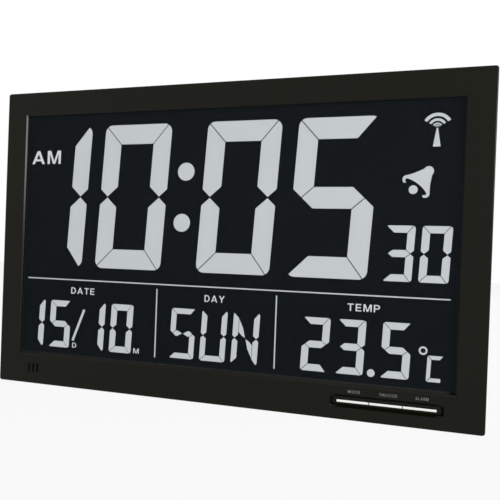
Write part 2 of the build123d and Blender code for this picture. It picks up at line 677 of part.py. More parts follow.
# Front bezel: hollow front half of the case with the window, key tub, vents and posts
with BuildPart() as front_bezel:
    block(0, CASE_MID, CASE_WIDTH, CASE_HEIGHT, 0, BEZEL_DEPTH, corner=CORNER_RADIUS)
    fillet(front_bezel.faces().sort_by(Axis.Y)[0].edges(), FRONT_EDGE)
    block(0, CASE_MID, CAVITY_WIDTH, CAVITY_HEIGHT, FRONT_WALL, BEZEL_DEPTH, Mode.SUBTRACT, CAVITY_CORNER)
    block(0, WINDOW_MID, WINDOW_WIDTH, WINDOW_HEIGHT, 0, FRONT_WALL, Mode.SUBTRACT)
    front_edges = front_bezel.edges().filter_by_position(Axis.Y, y_at(-FRONT_WALL / 4), y_at(FRONT_WALL / 4))
    across = front_edges.filter_by_position(Axis.X, WINDOW_LEFT - WINDOW_EDGE, WINDOW_RIGHT + WINDOW_EDGE)
    opening = across.filter_by_position(Axis.Z, BOTTOM_BORDER - WINDOW_EDGE, WINDOW_TOP + WINDOW_EDGE)
    chamfer(opening, WINDOW_EDGE)
    block(KEY_ROW_X, CONTROL_Z, RECESS_LENGTH + 2 * TUB_WALL, RECESS_HEIGHT + 2 * TUB_WALL,
          FRONT_WALL, KEY_FLOOR_REAR)
    with BuildSketch(front_plane(0)) as recess:
        with Locations((KEY_ROW_X, CONTROL_Z)):
            RectangleRounded(RECESS_LENGTH, RECESS_HEIGHT, RECESS_CORNER)
    extrude(amount=-RECESS_DEPTH, taper=RECESS_TAPER, mode=Mode.SUBTRACT)
    for key_x in KEY_XS:
        block(key_x, CONTROL_Z, KEY_STEM_LENGTH + 2 * KEY_CLEARANCE, KEY_STEM_HEIGHT + 2 * KEY_CLEARANCE,
              RECESS_DEPTH, KEY_FLOOR_REAR, Mode.SUBTRACT)
    for step in (-1, 0, 1):
        block(VENT_X + step * VENT_PITCH, CONTROL_Z, VENT_WIDTH, VENT_HEIGHT, 0, FRONT_WALL, Mode.SUBTRACT)
    for boss_x, boss_z in BOSSES:
        post(boss_x, boss_z, BOSS_RADIUS, FRONT_WALL, BEZEL_DEPTH)
        post(boss_x, boss_z, SCREW_RADIUS + THREAD_CLEARANCE,
             CASE_DEPTH - SCREW_SINK - SCREW_LENGTH - THREAD_ROOM, BEZEL_DEPTH, Mode.SUBTRACT)
    for ear_x, ear_z in EARS:
        post(ear_x, ear_z, BOSS_RADIUS, FRONT_WALL, CARRIER_FRONT)
        post(ear_x, ear_z, SMALL_SCREW_RADIUS + THREAD_CLEARANCE,
             FRONT_WALL, CARRIER_FRONT, Mode.SUBTRACT)
    for post_x in KEY_POST_XS:
        post(post_x, CONTROL_Z, KEY_POST_RADIUS, RECESS_DEPTH + TUB_WALL / 2, KEY_BOARD_FRONT)
        post(post_x, CONTROL_Z, SMALL_SCREW_RADIUS + THREAD_CLEARANCE,
             KEY_FLOOR_REAR, KEY_BOARD_FRONT, Mode.SUBTRACT)
    for post_x in SENSOR_POST_XS:
        post(post_x, CONTROL_Z, SENSOR_POST_RADIUS, FRONT_WALL, SENSOR_BOARD_FRONT)

# Rear cover: hollow rear half with the lip, screw pillars, stand pocket, battery bay and key wells
with BuildPart() as rear_cover:
    block(0, CASE_MID, CASE_WIDTH, CASE_HEIGHT, BEZEL_DEPTH, CASE_DEPTH, corner=CORNER_RADIUS)
    fillet(rear_cover.faces().sort_by(Axis.Y)[-1].edges(), REAR_EDGE)
    block(0, CASE_MID, CAVITY_WIDTH, CAVITY_HEIGHT, BEZEL_DEPTH, REAR_INNER, Mode.SUBTRACT, CAVITY_CORNER)
    lip_inside = 2 * (LIP_CLEARANCE + LIP_THICKNESS)
    lip_front = BEZEL_DEPTH - LIP_DEPTH
    lip_rear = BEZEL_DEPTH + LIP_ROOT
    block(0, CASE_MID, CAVITY_WIDTH, CAVITY_HEIGHT, BEZEL_DEPTH, lip_rear, corner=CAVITY_CORNER)
    block(0, CASE_MID, CAVITY_WIDTH - 2 * LIP_CLEARANCE, CAVITY_HEIGHT - 2 * LIP_CLEARANCE,
          lip_front, BEZEL_DEPTH, corner=CAVITY_CORNER)
    block(0, CASE_MID, CAVITY_WIDTH - lip_inside, CAVITY_HEIGHT - lip_inside,
          lip_front, lip_rear, Mode.SUBTRACT, CAVITY_CORNER)
    # Added walls behind the rear face
    for boss_x, boss_z in BOSSES:
        post(boss_x, boss_z, PILLAR_RADIUS, BEZEL_DEPTH, REAR_INNER)
    pocket_mid = (POCKET_TOP + POCKET_BASE) / 2
    pocket_height = POCKET_TOP - POCKET_BASE
    block(0, pocket_mid, POCKET_WIDTH + 2 * POCKET_WALL, pocket_height + 2 * POCKET_WALL,
          POCKET_FRONT, REAR_INNER)
    for scoop_x, scoop_z in LEG_SCOOPS:
        post(scoop_x, scoop_z, LEG_SCOOP_RADIUS + POCKET_WALL, POCKET_FRONT, REAR_INNER)
    for side in (-1, 1):
        block(side * (POCKET_WIDTH + PIN_BLOCK) / 2, STAND_AXIS_Z, PIN_BLOCK, PIN_BLOCK_HEIGHT,
              POCKET_FRONT, REAR_INNER)
    block(BATTERY_X, BATTERY_Z, BAY_LENGTH + 2 * BAY_WALL, BAY_HEIGHT + 2 * BAY_WALL,
          BAY_FLOOR_FRONT, REAR_INNER)
    block(BATTERY_X, BATTERY_Z, DOOR_LENGTH + 2 * COLLAR_WIDTH, DOOR_HEIGHT + 2 * COLLAR_WIDTH,
          REAR_INNER - COLLAR_DEPTH, REAR_INNER)
    for key_x in REAR_KEY_XS:
        post(key_x, REAR_KEY_Z, REAR_WELL_RADIUS + TUB_WALL, REAR_WELL_FRONT, REAR_INNER)
    post(BUZZER_X, BUZZER_Z, BUZZER_RADIUS + BUZZER_CLEARANCE + BUZZER_CUP_WALL,
         REAR_INNER - BUZZER_CUP_DEPTH, REAR_INNER)
    # Hollows and holes
    for boss_x, boss_z in BOSSES:
        post(boss_x, boss_z, SCREW_RADIUS + SHANK_CLEARANCE, BEZEL_DEPTH, CASE_DEPTH, Mode.SUBTRACT)
        post(boss_x, boss_z, SCREW_HEAD_RADIUS + HEAD_CLEARANCE,
             CASE_DEPTH - SCREW_SINK, CASE_DEPTH, Mode.SUBTRACT)
    block(0, pocket_mid, POCKET_WIDTH, pocket_height, POCKET_FLOOR, CASE_DEPTH, Mode.SUBTRACT)
    for scoop_x, scoop_z in LEG_SCOOPS:
        post(scoop_x, scoop_z, LEG_SCOOP_RADIUS, POCKET_FLOOR, CASE_DEPTH, Mode.SUBTRACT)
    pin_reach = POCKET_WIDTH / 2 + STAND_PIN_BITE
    rod(STAND_AXIS_DEPTH, STAND_AXIS_Z, STAND_PIN_RADIUS + STAND_PIN_CLEARANCE,
        -pin_reach, pin_reach, Mode.SUBTRACT)
    block(BATTERY_X, BATTERY_Z, BAY_LENGTH, BAY_HEIGHT, BAY_FLOOR_REAR, CASE_DEPTH, Mode.SUBTRACT)
    block(BATTERY_X, BATTERY_Z, DOOR_LENGTH + 2 * DOOR_GAP, DOOR_HEIGHT + 2 * DOOR_GAP,
          DOOR_FRONT - DOOR_SEAT_GAP, CASE_DEPTH, Mode.SUBTRACT)
    hinge_reach = DOOR_LENGTH / 2 + DOOR_PIN_LENGTH + DOOR_GAP
    rod(DOOR_AXIS_DEPTH, DOOR_AXIS_Z, DOOR_PIN_RADIUS + STAND_PIN_CLEARANCE,
        BATTERY_X - hinge_reach, BATTERY_X + hinge_reach, Mode.SUBTRACT)
    post(BATTERY_X, DOOR_TOP, DOOR_SCOOP_RADIUS, CASE_DEPTH - DOOR_SCOOP_DEPTH, CASE_DEPTH, Mode.SUBTRACT)
    for tail_z in (LOWER_BATTERY_Z, UPPER_BATTERY_Z):
        block(BAY_LEFT + CONTACT_THICKNESS / 2, tail_z, CONTACT_THICKNESS + 2 * TAIL_CLEARANCE,
              TAIL_WIDTH + 2 * TAIL_CLEARANCE, BAY_FLOOR_FRONT, BAY_FLOOR_REAR, Mode.SUBTRACT)
    for key_x in REAR_KEY_XS:
        post(key_x, REAR_KEY_Z, REAR_WELL_RADIUS, REAR_WELL_FLOOR, CASE_DEPTH, Mode.SUBTRACT)
        block(key_x, REAR_KEY_Z, REAR_KEY_STEM + 2 * KEY_CLEARANCE, REAR_KEY_STEM + 2 * KEY_CLEARANCE,
              REAR_WELL_FRONT, REAR_WELL_FLOOR, Mode.SUBTRACT)
    post(BUZZER_X, BUZZER_Z, BUZZER_RADIUS + BUZZER_CLEARANCE,
         REAR_INNER - BUZZER_CUP_DEPTH, REAR_INNER, Mode.SUBTRACT)
    with BuildSketch(front_plane(REAR_INNER)) as sound_holes:
        with Locations((BUZZER_X, BUZZER_Z)):
            Circle(SOUND_HOLE_RADIUS)
            with PolarLocations(SOUND_RING_RADIUS, SOUND_HOLES):
                Circle(SOUND_HOLE_RADIUS)
    extrude(amount=-WALL, mode=Mode.SUBTRACT)
    for side in (-1, 1):
        post(side * KEYHOLE_X, KEYHOLE_Z, KEYHOLE_RADIUS, REAR_INNER, CASE_DEPTH, Mode.SUBTRACT)
        block(side * KEYHOLE_X, KEYHOLE_Z + KEYHOLE_RISE / 2, 2 * KEYHOLE_SLOT_RADIUS, KEYHOLE_RISE,
              REAR_INNER, CASE_DEPTH, Mode.SUBTRACT)
        post(side * KEYHOLE_X, KEYHOLE_Z + KEYHOLE_RISE, KEYHOLE_SLOT_RADIUS,
             REAR_INNER, CASE_DEPTH, Mode.SUBTRACT)

# Case screws, from the rear into the bezel bosses
with BuildPart() as case_screws:
    for boss_x, boss_z in BOSSES:
        screw(boss_x, boss_z, CASE_DEPTH - SCREW_SINK, SCREW_RADIUS, SCREW_LENGTH,
              SCREW_HEAD_RADIUS, SCREW_HEAD_HEIGHT)

# Window and its tape
with BuildPart() as window_tape:
    frame(0, LCD_MID, LCD_WIDTH, LCD_HEIGHT, WINDOW_MID, WINDOW_WIDTH + 2 * TAPE_MARGIN,
          WINDOW_HEIGHT + 2 * TAPE_MARGIN, FRONT_WALL, WINDOW_FRONT)

with BuildPart() as display_window:
    block(0, LCD_MID, LCD_WIDTH, LCD_HEIGHT, WINDOW_FRONT, GASKET_FRONT)

# Display cell: gasket, two glasses, seal and reflector
with BuildPart() as lcd_gasket:
    frame(0, LCD_MID, LCD_WIDTH, LCD_HEIGHT, WINDOW_MID, WINDOW_WIDTH + 2 * TAPE_MARGIN,
          WINDOW_HEIGHT + 2 * TAPE_MARGIN, GASKET_FRONT, GLASS_FRONT)

with BuildPart() as lcd_front_glass:
    block(0, LCD_MID, LCD_WIDTH, LCD_HEIGHT, GLASS_FRONT, CELL_FRONT)

with BuildPart() as lcd_cell_seal:
    frame(0, REAR_GLASS_MID, LCD_WIDTH, REAR_GLASS_HEIGHT, REAR_GLASS_MID, LCD_WIDTH - 2 * SEAL_WIDTH,
          REAR_GLASS_HEIGHT - 2 * SEAL_WIDTH, CELL_FRONT, REAR_GLASS_FRONT)

with BuildPart() as lcd_rear_glass:
    block(0, REAR_GLASS_MID, LCD_WIDTH, REAR_GLASS_HEIGHT, REAR_GLASS_FRONT, REFLECTOR_FRONT)

with BuildPart() as lcd_reflector:
    block(0, REAR_GLASS_MID, LCD_WIDTH, REAR_GLASS_HEIGHT, REFLECTOR_FRONT, CARRIER_FRONT)

# Display characters
with BuildPart() as lcd_time_segments:
    character("1", HOUR_TENS_LEFT, TIME_BASE, TIME_CELL)
    character("0", HOUR_LEFT, TIME_BASE, TIME_CELL)
    character("0", MINUTE_TENS_LEFT, TIME_BASE, TIME_CELL)
    character("5", MINUTE_LEFT, TIME_BASE, TIME_CELL)
    for side in (-1, 1):
        rise = side * COLON_SPREAD / 2
        post(MINUTE_TENS_LEFT - COLON_GAP / 2 + DIGIT_SLANT * rise, TIME_MID + rise, COLON_RADIUS,
             CELL_FRONT, REAR_GLASS_FRONT)

with BuildPart() as lcd_seconds_segments:
    character("3", SECONDS_TENS_LEFT, TIME_BASE, SECONDS_CELL)
    character("0", SECONDS_LEFT, TIME_BASE, SECONDS_CELL)

with BuildPart() as lcd_date_segments:
    character("1", DATE_TENS_LEFT, SMALL_BASE, DATE_CELL)
    character("5", DATE_LEFT, SMALL_BASE, DATE_CELL)
    character("1", MONTH_TENS_LEFT, SMALL_BASE, DATE_CELL)
    character("0", MONTH_LEFT, SMALL_BASE, DATE_CELL)
    slash_x = MONTH_TENS_LEFT - SLASH_GAP / 2 + SLASH_OFFSET
    slash_z = SMALL_BASE + SMALL_HEIGHT / 2
    with BuildSketch(front_plane(CELL_FRONT)) as slash:
        with BuildLine():
            Line((slash_x - SLASH_SLANT * SLASH_HEIGHT / 2, slash_z - SLASH_HEIGHT / 2),
                 (slash_x + SLASH_SLANT * SLASH_HEIGHT / 2, slash_z + SLASH_HEIGHT / 2))
        trace(line_width=SLASH_WIDTH)
    extrude(amount=-CELL_GAP)

with BuildPart() as lcd_day_segments:
    for place, letter in enumerate("SUN"):
        character(letter, DAY_LEFT + place * (LETTER_WIDTH + LETTER_GAP), SMALL_BASE, DAY_CELL)

with BuildPart() as lcd_temperature_segments:
    character("2", TEMP_TENS_LEFT, SMALL_BASE, DATE_CELL)
    character("3", TEMP_LEFT, SMALL_BASE, DATE_CELL)
    character("5", TEMP_TENTHS_LEFT, SMALL_BASE, DATE_CELL)
    character("C", TEMP_RIGHT + UNIT_OFFSET, SMALL_BASE, UNIT_CELL)
    post(TEMP_LEFT + SMALL_WIDTH + POINT_OFFSET, SMALL_BASE + POINT_RISE, POINT_RADIUS,
         CELL_FRONT, REAR_GLASS_FRONT)
    post(TEMP_RIGHT + DEGREE_OFFSET, SMALL_BASE + DEGREE_RISE, DEGREE_RADIUS, CELL_FRONT, REAR_GLASS_FRONT)
    post(TEMP_RIGHT + DEGREE_OFFSET, SMALL_BASE + DEGREE_RISE, DEGREE_BORE,
         CELL_FRONT, REAR_GLASS_FRONT, Mode.SUBTRACT)

with BuildPart() as lcd_divider_lines:
    line_left = WINDOW_LEFT + LINE_LEFT_MARGIN
    line_right = WINDOW_RIGHT - LINE_RIGHT_MARGIN
    block((line_left + line_right) / 2, LINE_TOP - LINE_THICKNESS / 2, line_right - line_left, LINE_THICKNESS,
          CELL_FRONT, REAR_GLASS_FRONT)
    field_top = LINE_BASE - FIELD_LINE_SPACE
    field_base = SMALL_BASE - FIELD_LINE_DROP
    for line_x in (DATE_LINE, TEMP_LINE):
        block(line_x, (field_top + field_base) / 2, LINE_THICKNESS, field_top - field_base,
              CELL_FRONT, REAR_GLASS_FRONT)

with BuildPart() as lcd_icons:
    mast_x = WINDOW_RIGHT - MAST_MARGIN
    mast_z = TIME_TOP - MAST_DROP
    for outer, inner in WAVE_RADII:
        with BuildSketch(front_plane(CELL_FRONT)) as wave:
            with BuildLine():
                CenterArc((mast_x, mast_z), (outer + inner) / 2, 90 - WAVE_ANGLE / 2, WAVE_ANGLE)
            trace(line_width=outer - inner)
        extrude(amount=-CELL_GAP)
    with BuildSketch(front_plane(CELL_FRONT)) as mast:
        foot_z = mast_z - MAST_HEIGHT
        Polygon((mast_x - MAST_FOOT / 2, foot_z), (mast_x + MAST_FOOT / 2, foot_z),
                (mast_x + MAST_TOP / 2, mast_z), (mast_x - MAST_TOP / 2, mast_z), align=None)
    extrude(amount=-CELL_GAP)
    bell_x = WINDOW_RIGHT - BELL_MARGIN
    bell_z = TIME_TOP - BELL_DROP
    shoulder_point, crown_point = BELL_CROWN
    lip_out, lip_end, lip_tip, lip_in, mouth_point = BELL_LIP
    bell_across = Vector(1, 0, 0).rotate(Axis.Y, BELL_TILT)
    bell_plane = Plane((bell_x, y_at(CELL_FRONT), bell_z), x_dir=bell_across, z_dir=(0, -1, 0))
    with BuildSketch(bell_plane) as bell:
        with BuildLine() as rim:
            Spline(shoulder_point, *BELL_FLANK)
            ThreePointArc(BELL_FLANK[-1], lip_out, lip_end)
            Line(lip_end, lip_tip)
            ThreePointArc(lip_tip, lip_in, mouth_point)
            mirror(about=Plane.YZ)
            ThreePointArc(shoulder_point, crown_point, (-shoulder_point[0], shoulder_point[1]))
            ThreePointArc(mouth_point, (0, BELL_ARCH), (-mouth_point[0], mouth_point[1]))
        make_face()
        with Locations((0, -CLAPPER_DROP)):
            Circle(CLAPPER_RADIUS)
    extrude(amount=-CELL_GAP)

# Carrier plate behind the display, with ears, board standoffs and the connector slot
with BuildPart() as lcd_carrier:
    block(0, LCD_MID, LCD_WIDTH, LCD_HEIGHT, CARRIER_FRONT, CARRIER_REAR)
    for ear_x, ear_z in EARS:
        block(ear_x * (BOSS_X + LCD_WIDTH / 2) / (2 * BOSS_X), ear_z, BOSS_X - LCD_WIDTH / 2, EAR_HEIGHT,
              CARRIER_FRONT, CARRIER_REAR)
        post(ear_x, ear_z, BOSS_RADIUS, CARRIER_FRONT, CARRIER_REAR)
        post(ear_x, ear_z, SMALL_SCREW_RADIUS + SHANK_CLEARANCE, CARRIER_FRONT, CARRIER_REAR, Mode.SUBTRACT)
    block(0, ZEBRA_Z, ZEBRA_SPAN + 2 * ZEBRA_CLEARANCE, ZEBRA_WIDTH + 2 * ZEBRA_CLEARANCE,
          CARRIER_FRONT, CARRIER_REAR, Mode.SUBTRACT)
    for stand_x, stand_z in STANDOFFS:
        post(stand_x, stand_z, STANDOFF_RADIUS, CARRIER_REAR, BOARD_FRONT)
        post(stand_x, stand_z, SMALL_SCREW_RADIUS + THREAD_CLEARANCE,
             CARRIER_FRONT, BOARD_FRONT, Mode.SUBTRACT)
    for side in (-1, 1):
        post(RECEIVER_X + side * (RECEIVER_WIDTH / 2 - RECEIVER_POST_RADIUS), ANTENNA_Z,
             RECEIVER_POST_RADIUS, CARRIER_REAR, RECEIVER_FRONT)

with BuildPart() as carrier_screws:
    for ear_x, ear_z in EARS:
        small_screw(ear_x, ear_z, CARRIER_REAR)

# Main board with its connector strip, driver chip, crystal and rear key switches
with BuildPart() as zebra_strip:
    block(0, ZEBRA_Z, ZEBRA_SPAN, ZEBRA_WIDTH, CELL_FRONT, BOARD_FRONT)

with BuildPart() as main_board:
    block(0, BOARD_MID, MAIN_BOARD_WIDTH, MAIN_BOARD_HEIGHT, BOARD_FRONT, BOARD_REAR)
    for stand_x, stand_z in STANDOFFS:
        post(stand_x, stand_z, SMALL_SCREW_RADIUS + SHANK_CLEARANCE, BOARD_FRONT, BOARD_REAR, Mode.SUBTRACT)

with BuildPart() as main_board_screws:
    for stand_x, stand_z in STANDOFFS:
        small_screw(stand_x, stand_z, BOARD_REAR)

with BuildPart() as driver_chip:
    block(0, BOARD_MID + CHIP_RISE, CHIP_SIZE, CHIP_SIZE, BOARD_REAR, BOARD_REAR + CHIP_HEIGHT)

with BuildPart() as crystal:
    rod(BOARD_REAR + CRYSTAL_RADIUS, BOARD_MID + CHIP_RISE, CRYSTAL_RADIUS, CRYSTAL_SPACE,
        CRYSTAL_SPACE + CRYSTAL_LENGTH)

with BuildPart() as rear_switches:
    key_switches([(key_x, REAR_KEY_Z) for key_x in REAR_KEY_XS], BOARD_REAR, 1)

# Front key board
with BuildPart() as key_board:
    block(KEY_ROW_X, CONTROL_Z + (KEY_BOARD_RISE - KEY_BOARD_DROP) / 2, KEY_BOARD_WIDTH,
          KEY_BOARD_RISE + KEY_BOARD_DROP, KEY_BOARD_FRONT, KEY_BOARD_REAR)
    for post_x in KEY_POST_XS:
        post(post_x, CONTROL_Z, SMALL_SCREW_RADIUS + SHANK_CLEARANCE,
             KEY_BOARD_FRONT, KEY_BOARD_REAR, Mode.SUBTRACT)

with BuildPart() as key_board_screws:
    for post_x in KEY_POST_XS:
        small_screw(post_x, CONTROL_Z, KEY_BOARD_REAR)

with BuildPart() as front_switches:
    key_switches([(key_x, CONTROL_Z) for key_x in KEY_XS], KEY_BOARD_FRONT, -1)

# Ribbon from the rear of the key board up to the rear of the main board
with BuildPart() as key_ribbon:
    ribbon_x = KEY_XS[0]
    turn_base = KEY_BOARD_TOP + BOARD_GAP / 2
    with BuildSketch(Plane.YZ.offset(ribbon_x - RIBBON_WIDTH / 2)) as ribbon:
        with BuildLine() as bend:
            Polyline((y_at(KEY_BOARD_REAR), KEY_BOARD_TOP - RIBBON_LAP),
                     (y_at(KEY_BOARD_REAR), turn_base),
                     (y_at(BOARD_REAR), BOARD_BASE + RIBBON_LAP - RIBBON_THICKNESS),
                     (y_at(BOARD_REAR), BOARD_BASE + 2 * RIBBON_LAP),
                     (y_at(BOARD_REAR) + RIBBON_THICKNESS, BOARD_BASE + 2 * RIBBON_LAP),
                     (y_at(BOARD_REAR) + RIBBON_THICKNESS, BOARD_BASE + RIBBON_LAP),
                     (y_at(KEY_BOARD_REAR) + RIBBON_THICKNESS, turn_base),
                     (y_at(KEY_BOARD_REAR) + RIBBON_THICKNESS, KEY_BOARD_TOP - RIBBON_LAP), close=True)
        make_face()
    extrude(amount=RIBBON_WIDTH)


def front_key(key_x):
    """One front key: silver cap bar, stem through the tub floor, stop flange and pusher."""
    with BuildPart() as key:
        block(key_x, CONTROL_Z, KEY_LENGTH, KEY_HEIGHT, KEY_SINK, KEY_CAP_REAR)
        fillet(key.faces().sort_by(Axis.Y)[0].edges(), KEY_EDGE)
        block(key_x, CONTROL_Z, KEY_STEM_LENGTH, KEY_STEM_HEIGHT, KEY_CAP_REAR, KEY_FLANGE_FRONT)
        block(key_x, CONTROL_Z, KEY_STEM_LENGTH + 2 * KEY_FLANGE, KEY_STEM_HEIGHT + 2 * KEY_FLANGE,
              KEY_FLANGE_FRONT, KEY_FLANGE_REAR)
        post(key_x, CONTROL_Z, PLUNGER_RADIUS, KEY_FLANGE_REAR, PLUNGER_FRONT)
    return key


def rear_key(key_x, upright):
    """One rear key: round cap with its sign cut in, square stem, stop flange and pusher."""
    with BuildPart() as key:
        post(key_x, REAR_KEY_Z, REAR_KEY_RADIUS, REAR_CAP_FRONT, REAR_CAP_REAR)
        fillet(key.faces().sort_by(Axis.Y)[-1].edges(), KEY_EDGE)
        block(key_x, REAR_KEY_Z, REAR_KEY_STEM, REAR_KEY_STEM, REAR_FLANGE_REAR, REAR_CAP_FRONT)
        block(key_x, REAR_KEY_Z, REAR_KEY_STEM + 2 * KEY_FLANGE, REAR_KEY_STEM + 2 * KEY_FLANGE,
              REAR_FLANGE_FRONT, REAR_FLANGE_REAR)
        post(key_x, REAR_KEY_Z, PLUNGER_RADIUS, REAR_PLUNGER_REAR, REAR_FLANGE_FRONT)
        block(key_x, REAR_KEY_Z, SIGN_LENGTH, SIGN_WIDTH, REAR_CAP_REAR - SIGN_DEPTH, REAR_CAP_REAR,
              Mode.SUBTRACT)
        if upright:
            block(key_x, REAR_KEY_Z, SIGN_WIDTH, SIGN_LENGTH, REAR_CAP_REAR - SIGN_DEPTH, REAR_CAP_REAR,
                  Mode.SUBTRACT)
    return key


def plunger(key_x, key_z, front):
    """The sprung plunger of one key switch."""
    with BuildPart() as stem:
        post(key_x, key_z, PLUNGER_RADIUS, front, front + PLUNGER_LENGTH)
    return stem


# Keys and the switch plungers that travel with them
mode_key, snooze_key, alarm_key = [front_key(key_x) for key_x in KEY_XS]
mode_plunger, snooze_plunger, alarm_plunger = [plunger(key_x, CONTROL_Z, PLUNGER_FRONT) for key_x in KEY_XS]
minus_key = rear_key(REAR_KEY_XS[1], False)
plus_key = rear_key(REAR_KEY_XS[0], True)
plus_plunger, minus_plunger = [plunger(key_x, REAR_KEY_Z, REAR_PLUNGER_REAR - PLUNGER_LENGTH)
                               for key_x in REAR_KEY_XS]

# Temperature sensor on its small board behind the vents
with BuildPart() as sensor_board:
    block(VENT_X, CONTROL_Z, SENSOR_BOARD_WIDTH, SENSOR_BOARD_HEIGHT, SENSOR_BOARD_FRONT, SENSOR_BOARD_REAR)

with BuildPart() as temperature_sensor:
    block(VENT_X, CONTROL_Z, SENSOR_SIZE, SENSOR_SIZE, SENSOR_BOARD_FRONT - SENSOR_HEIGHT, SENSOR_BOARD_FRONT)
    fillet(temperature_sensor.faces().sort_by(Axis.Y)[0].edges(), SENSOR_ROUND)

with BuildPart() as sensor_leads:
    pad_x = VENT_X + SENSOR_PAD_SPACE
    solder_x = -MAIN_BOARD_WIDTH / 2 + SOLDER_INSET
    over = BOARD_REAR + SOLDER_RISE
    for side in (-1, 1):
        start_z = CONTROL_Z + side * WIRE_PITCH / 2
        end_z = BOARD_MID + side * WIRE_PITCH / 2
        run_wire([(pad_x, SENSOR_BOARD_REAR, start_z), (pad_x, over, start_z),
                  (solder_x, over, end_z), (solder_x, BOARD_REAR, end_z)])

# Radio receiver: ferrite rod, coil, holder and small board
with BuildPart() as antenna_holder:
    block(0, ANTENNA_Z, ROD_LENGTH, SADDLE_HEIGHT, CARRIER_REAR, CARRIER_REAR + HOLDER_THICKNESS)
    for side in (-1, 1):
        block(side * (ROD_LENGTH - SADDLE_LENGTH) / 2, ANTENNA_Z, SADDLE_LENGTH, SADDLE_HEIGHT,
              CARRIER_REAR, ROD_DEPTH)
    rod(ROD_DEPTH, ANTENNA_Z, COIL_BORE, -ROD_LENGTH / 2, ROD_LENGTH / 2, Mode.SUBTRACT)

with BuildPart() as ferrite_rod:
    rod(ROD_DEPTH, ANTENNA_Z, ROD_RADIUS, -ROD_LENGTH / 2, ROD_LENGTH / 2)

with BuildPart() as antenna_coil:
    rod(ROD_DEPTH, ANTENNA_Z, COIL_RADIUS, -COIL_LENGTH / 2, COIL_LENGTH / 2)
    rod(ROD_DEPTH, ANTENNA_Z, COIL_BORE, -COIL_LENGTH / 2, COIL_LENGTH / 2, Mode.SUBTRACT)

with BuildPart() as receiver_board:
    block(RECEIVER_X, ANTENNA_Z, RECEIVER_WIDTH, RECEIVER_HEIGHT,
          RECEIVER_FRONT, RECEIVER_FRONT + BOARD_THICKNESS)

with BuildPart() as antenna_leads:
    winding_depth = ROD_DEPTH + COIL_BORE + COIL_THICKNESS / 2
    past_rod = -ROD_LENGTH / 2 - WIRE_PITCH
    run_wire([(-COIL_LENGTH / 2, winding_depth, ANTENNA_Z), (past_rod, winding_depth, ANTENNA_Z),
              ((past_rod + 2 * RECEIVER_EDGE) / 3, RECEIVER_CORE, ANTENNA_Z),
              (RECEIVER_EDGE, RECEIVER_CORE, ANTENNA_Z)])

with BuildPart() as receiver_leads:
    drop = RECEIVER_BASE - BOARD_TOP
    for step in (-1, 0, 1):
        lead_x = RECEIVER_X + step * WIRE_PITCH
        slack_x = lead_x - 2 * WIRE_PITCH
        run_wire([(lead_x, RECEIVER_CORE, RECEIVER_BASE),
                  (lead_x, RECEIVER_CORE, RECEIVER_BASE - drop / 6),
                  (slack_x, WIRE_DEPTH, RECEIVER_BASE - drop / 3),
                  (slack_x, WIRE_DEPTH, BOARD_TOP + drop / 3),
                  (lead_x, BOARD_CORE, BOARD_TOP + drop / 6),
                  (lead_x, BOARD_CORE, BOARD_TOP)])

# Buzzer in its cup behind the sound holes
with BuildPart() as buzzer:
    post(BUZZER_X, BUZZER_Z, BUZZER_RADIUS, BUZZER_FRONT, REAR_INNER)
    post(BUZZER_X, BUZZER_Z, BUZZER_PORT, REAR_INNER - BUZZER_CUP_DEPTH, REAR_INNER, Mode.SUBTRACT)

with BuildPart() as buzzer_leads:
    drop = BUZZER_Z - BOARD_TOP
    for side in (-1, 1):
        lead_x = BUZZER_X + side * WIRE_PITCH / 2
        run_wire([(lead_x, BUZZER_FRONT, BUZZER_Z), (lead_x, (BUZZER_FRONT + BOARD_CORE) / 2, BUZZER_Z),
                  (lead_x, BOARD_CORE, BUZZER_Z - drop / 3), (lead_x, BOARD_CORE, BOARD_TOP)])


def leaf(wall_x, direction, axis_z):
    """Add a bowed contact leaf that bulges from a wall towards a battery's flat end."""
    height = LEAF_SPACE - LEAF_CLEARANCE
    foot_x = wall_x + direction * CONTACT_THICKNESS / 2
    with BuildSketch(front_plane(BATTERY_DEPTH - CONTACT_WIDTH / 2)) as strip:
        with BuildLine():
            ThreePointArc((foot_x, axis_z - LEAF_SPAN / 2),
                          (foot_x + direction * height, axis_z),
                          (foot_x, axis_z + LEAF_SPAN / 2))
        trace(line_width=CONTACT_THICKNESS)
    extrude(strip.sketch, amount=-CONTACT_WIDTH)


def contact_plate(wall_x, direction, low, high):
    """Add a contact plate against a bay end wall, between two heights."""
    block(wall_x + direction * CONTACT_THICKNESS / 2, (low + high) / 2, CONTACT_THICKNESS, high - low,
          BATTERY_DEPTH - CONTACT_WIDTH / 2, BATTERY_DEPTH + CONTACT_WIDTH / 2)


def contact_tail(axis_z):
    """Add the solder tail that runs forwards through the bay floor."""
    block(BAY_LEFT + CONTACT_THICKNESS / 2, axis_z, CONTACT_THICKNESS, TAIL_WIDTH,
          BAY_FLOOR_FRONT - TAIL_LENGTH, BATTERY_DEPTH)


# Batteries, their contacts and leads
plate_reach = BATTERY_RADIUS - CONTACT_MARGIN
with BuildPart() as battery_cells:
    for axis_z, direction in ((LOWER_BATTERY_Z, 1), (UPPER_BATTERY_Z, -1)):
        flat_end = BATTERY_X - direction * (BAY_LENGTH / 2 - CONTACT_THICKNESS - LEAF_SPACE)
        collar_end = flat_end + direction * (BATTERY_LENGTH - NUB_LENGTH)
        rod(BATTERY_DEPTH, axis_z, BATTERY_RADIUS, min(flat_end, collar_end), max(flat_end, collar_end))
        fillet(battery_cells.edges().filter_by(GeomType.CIRCLE).group_by(SortBy.RADIUS)[-1]
               .filter_by_position(Axis.Z, axis_z - BATTERY_RADIUS, axis_z + BATTERY_RADIUS), BATTERY_ROUND)
        nub_end = collar_end + direction * NUB_LENGTH
        rod(BATTERY_DEPTH, axis_z, NUB_RADIUS, min(collar_end, nub_end), max(collar_end, nub_end))

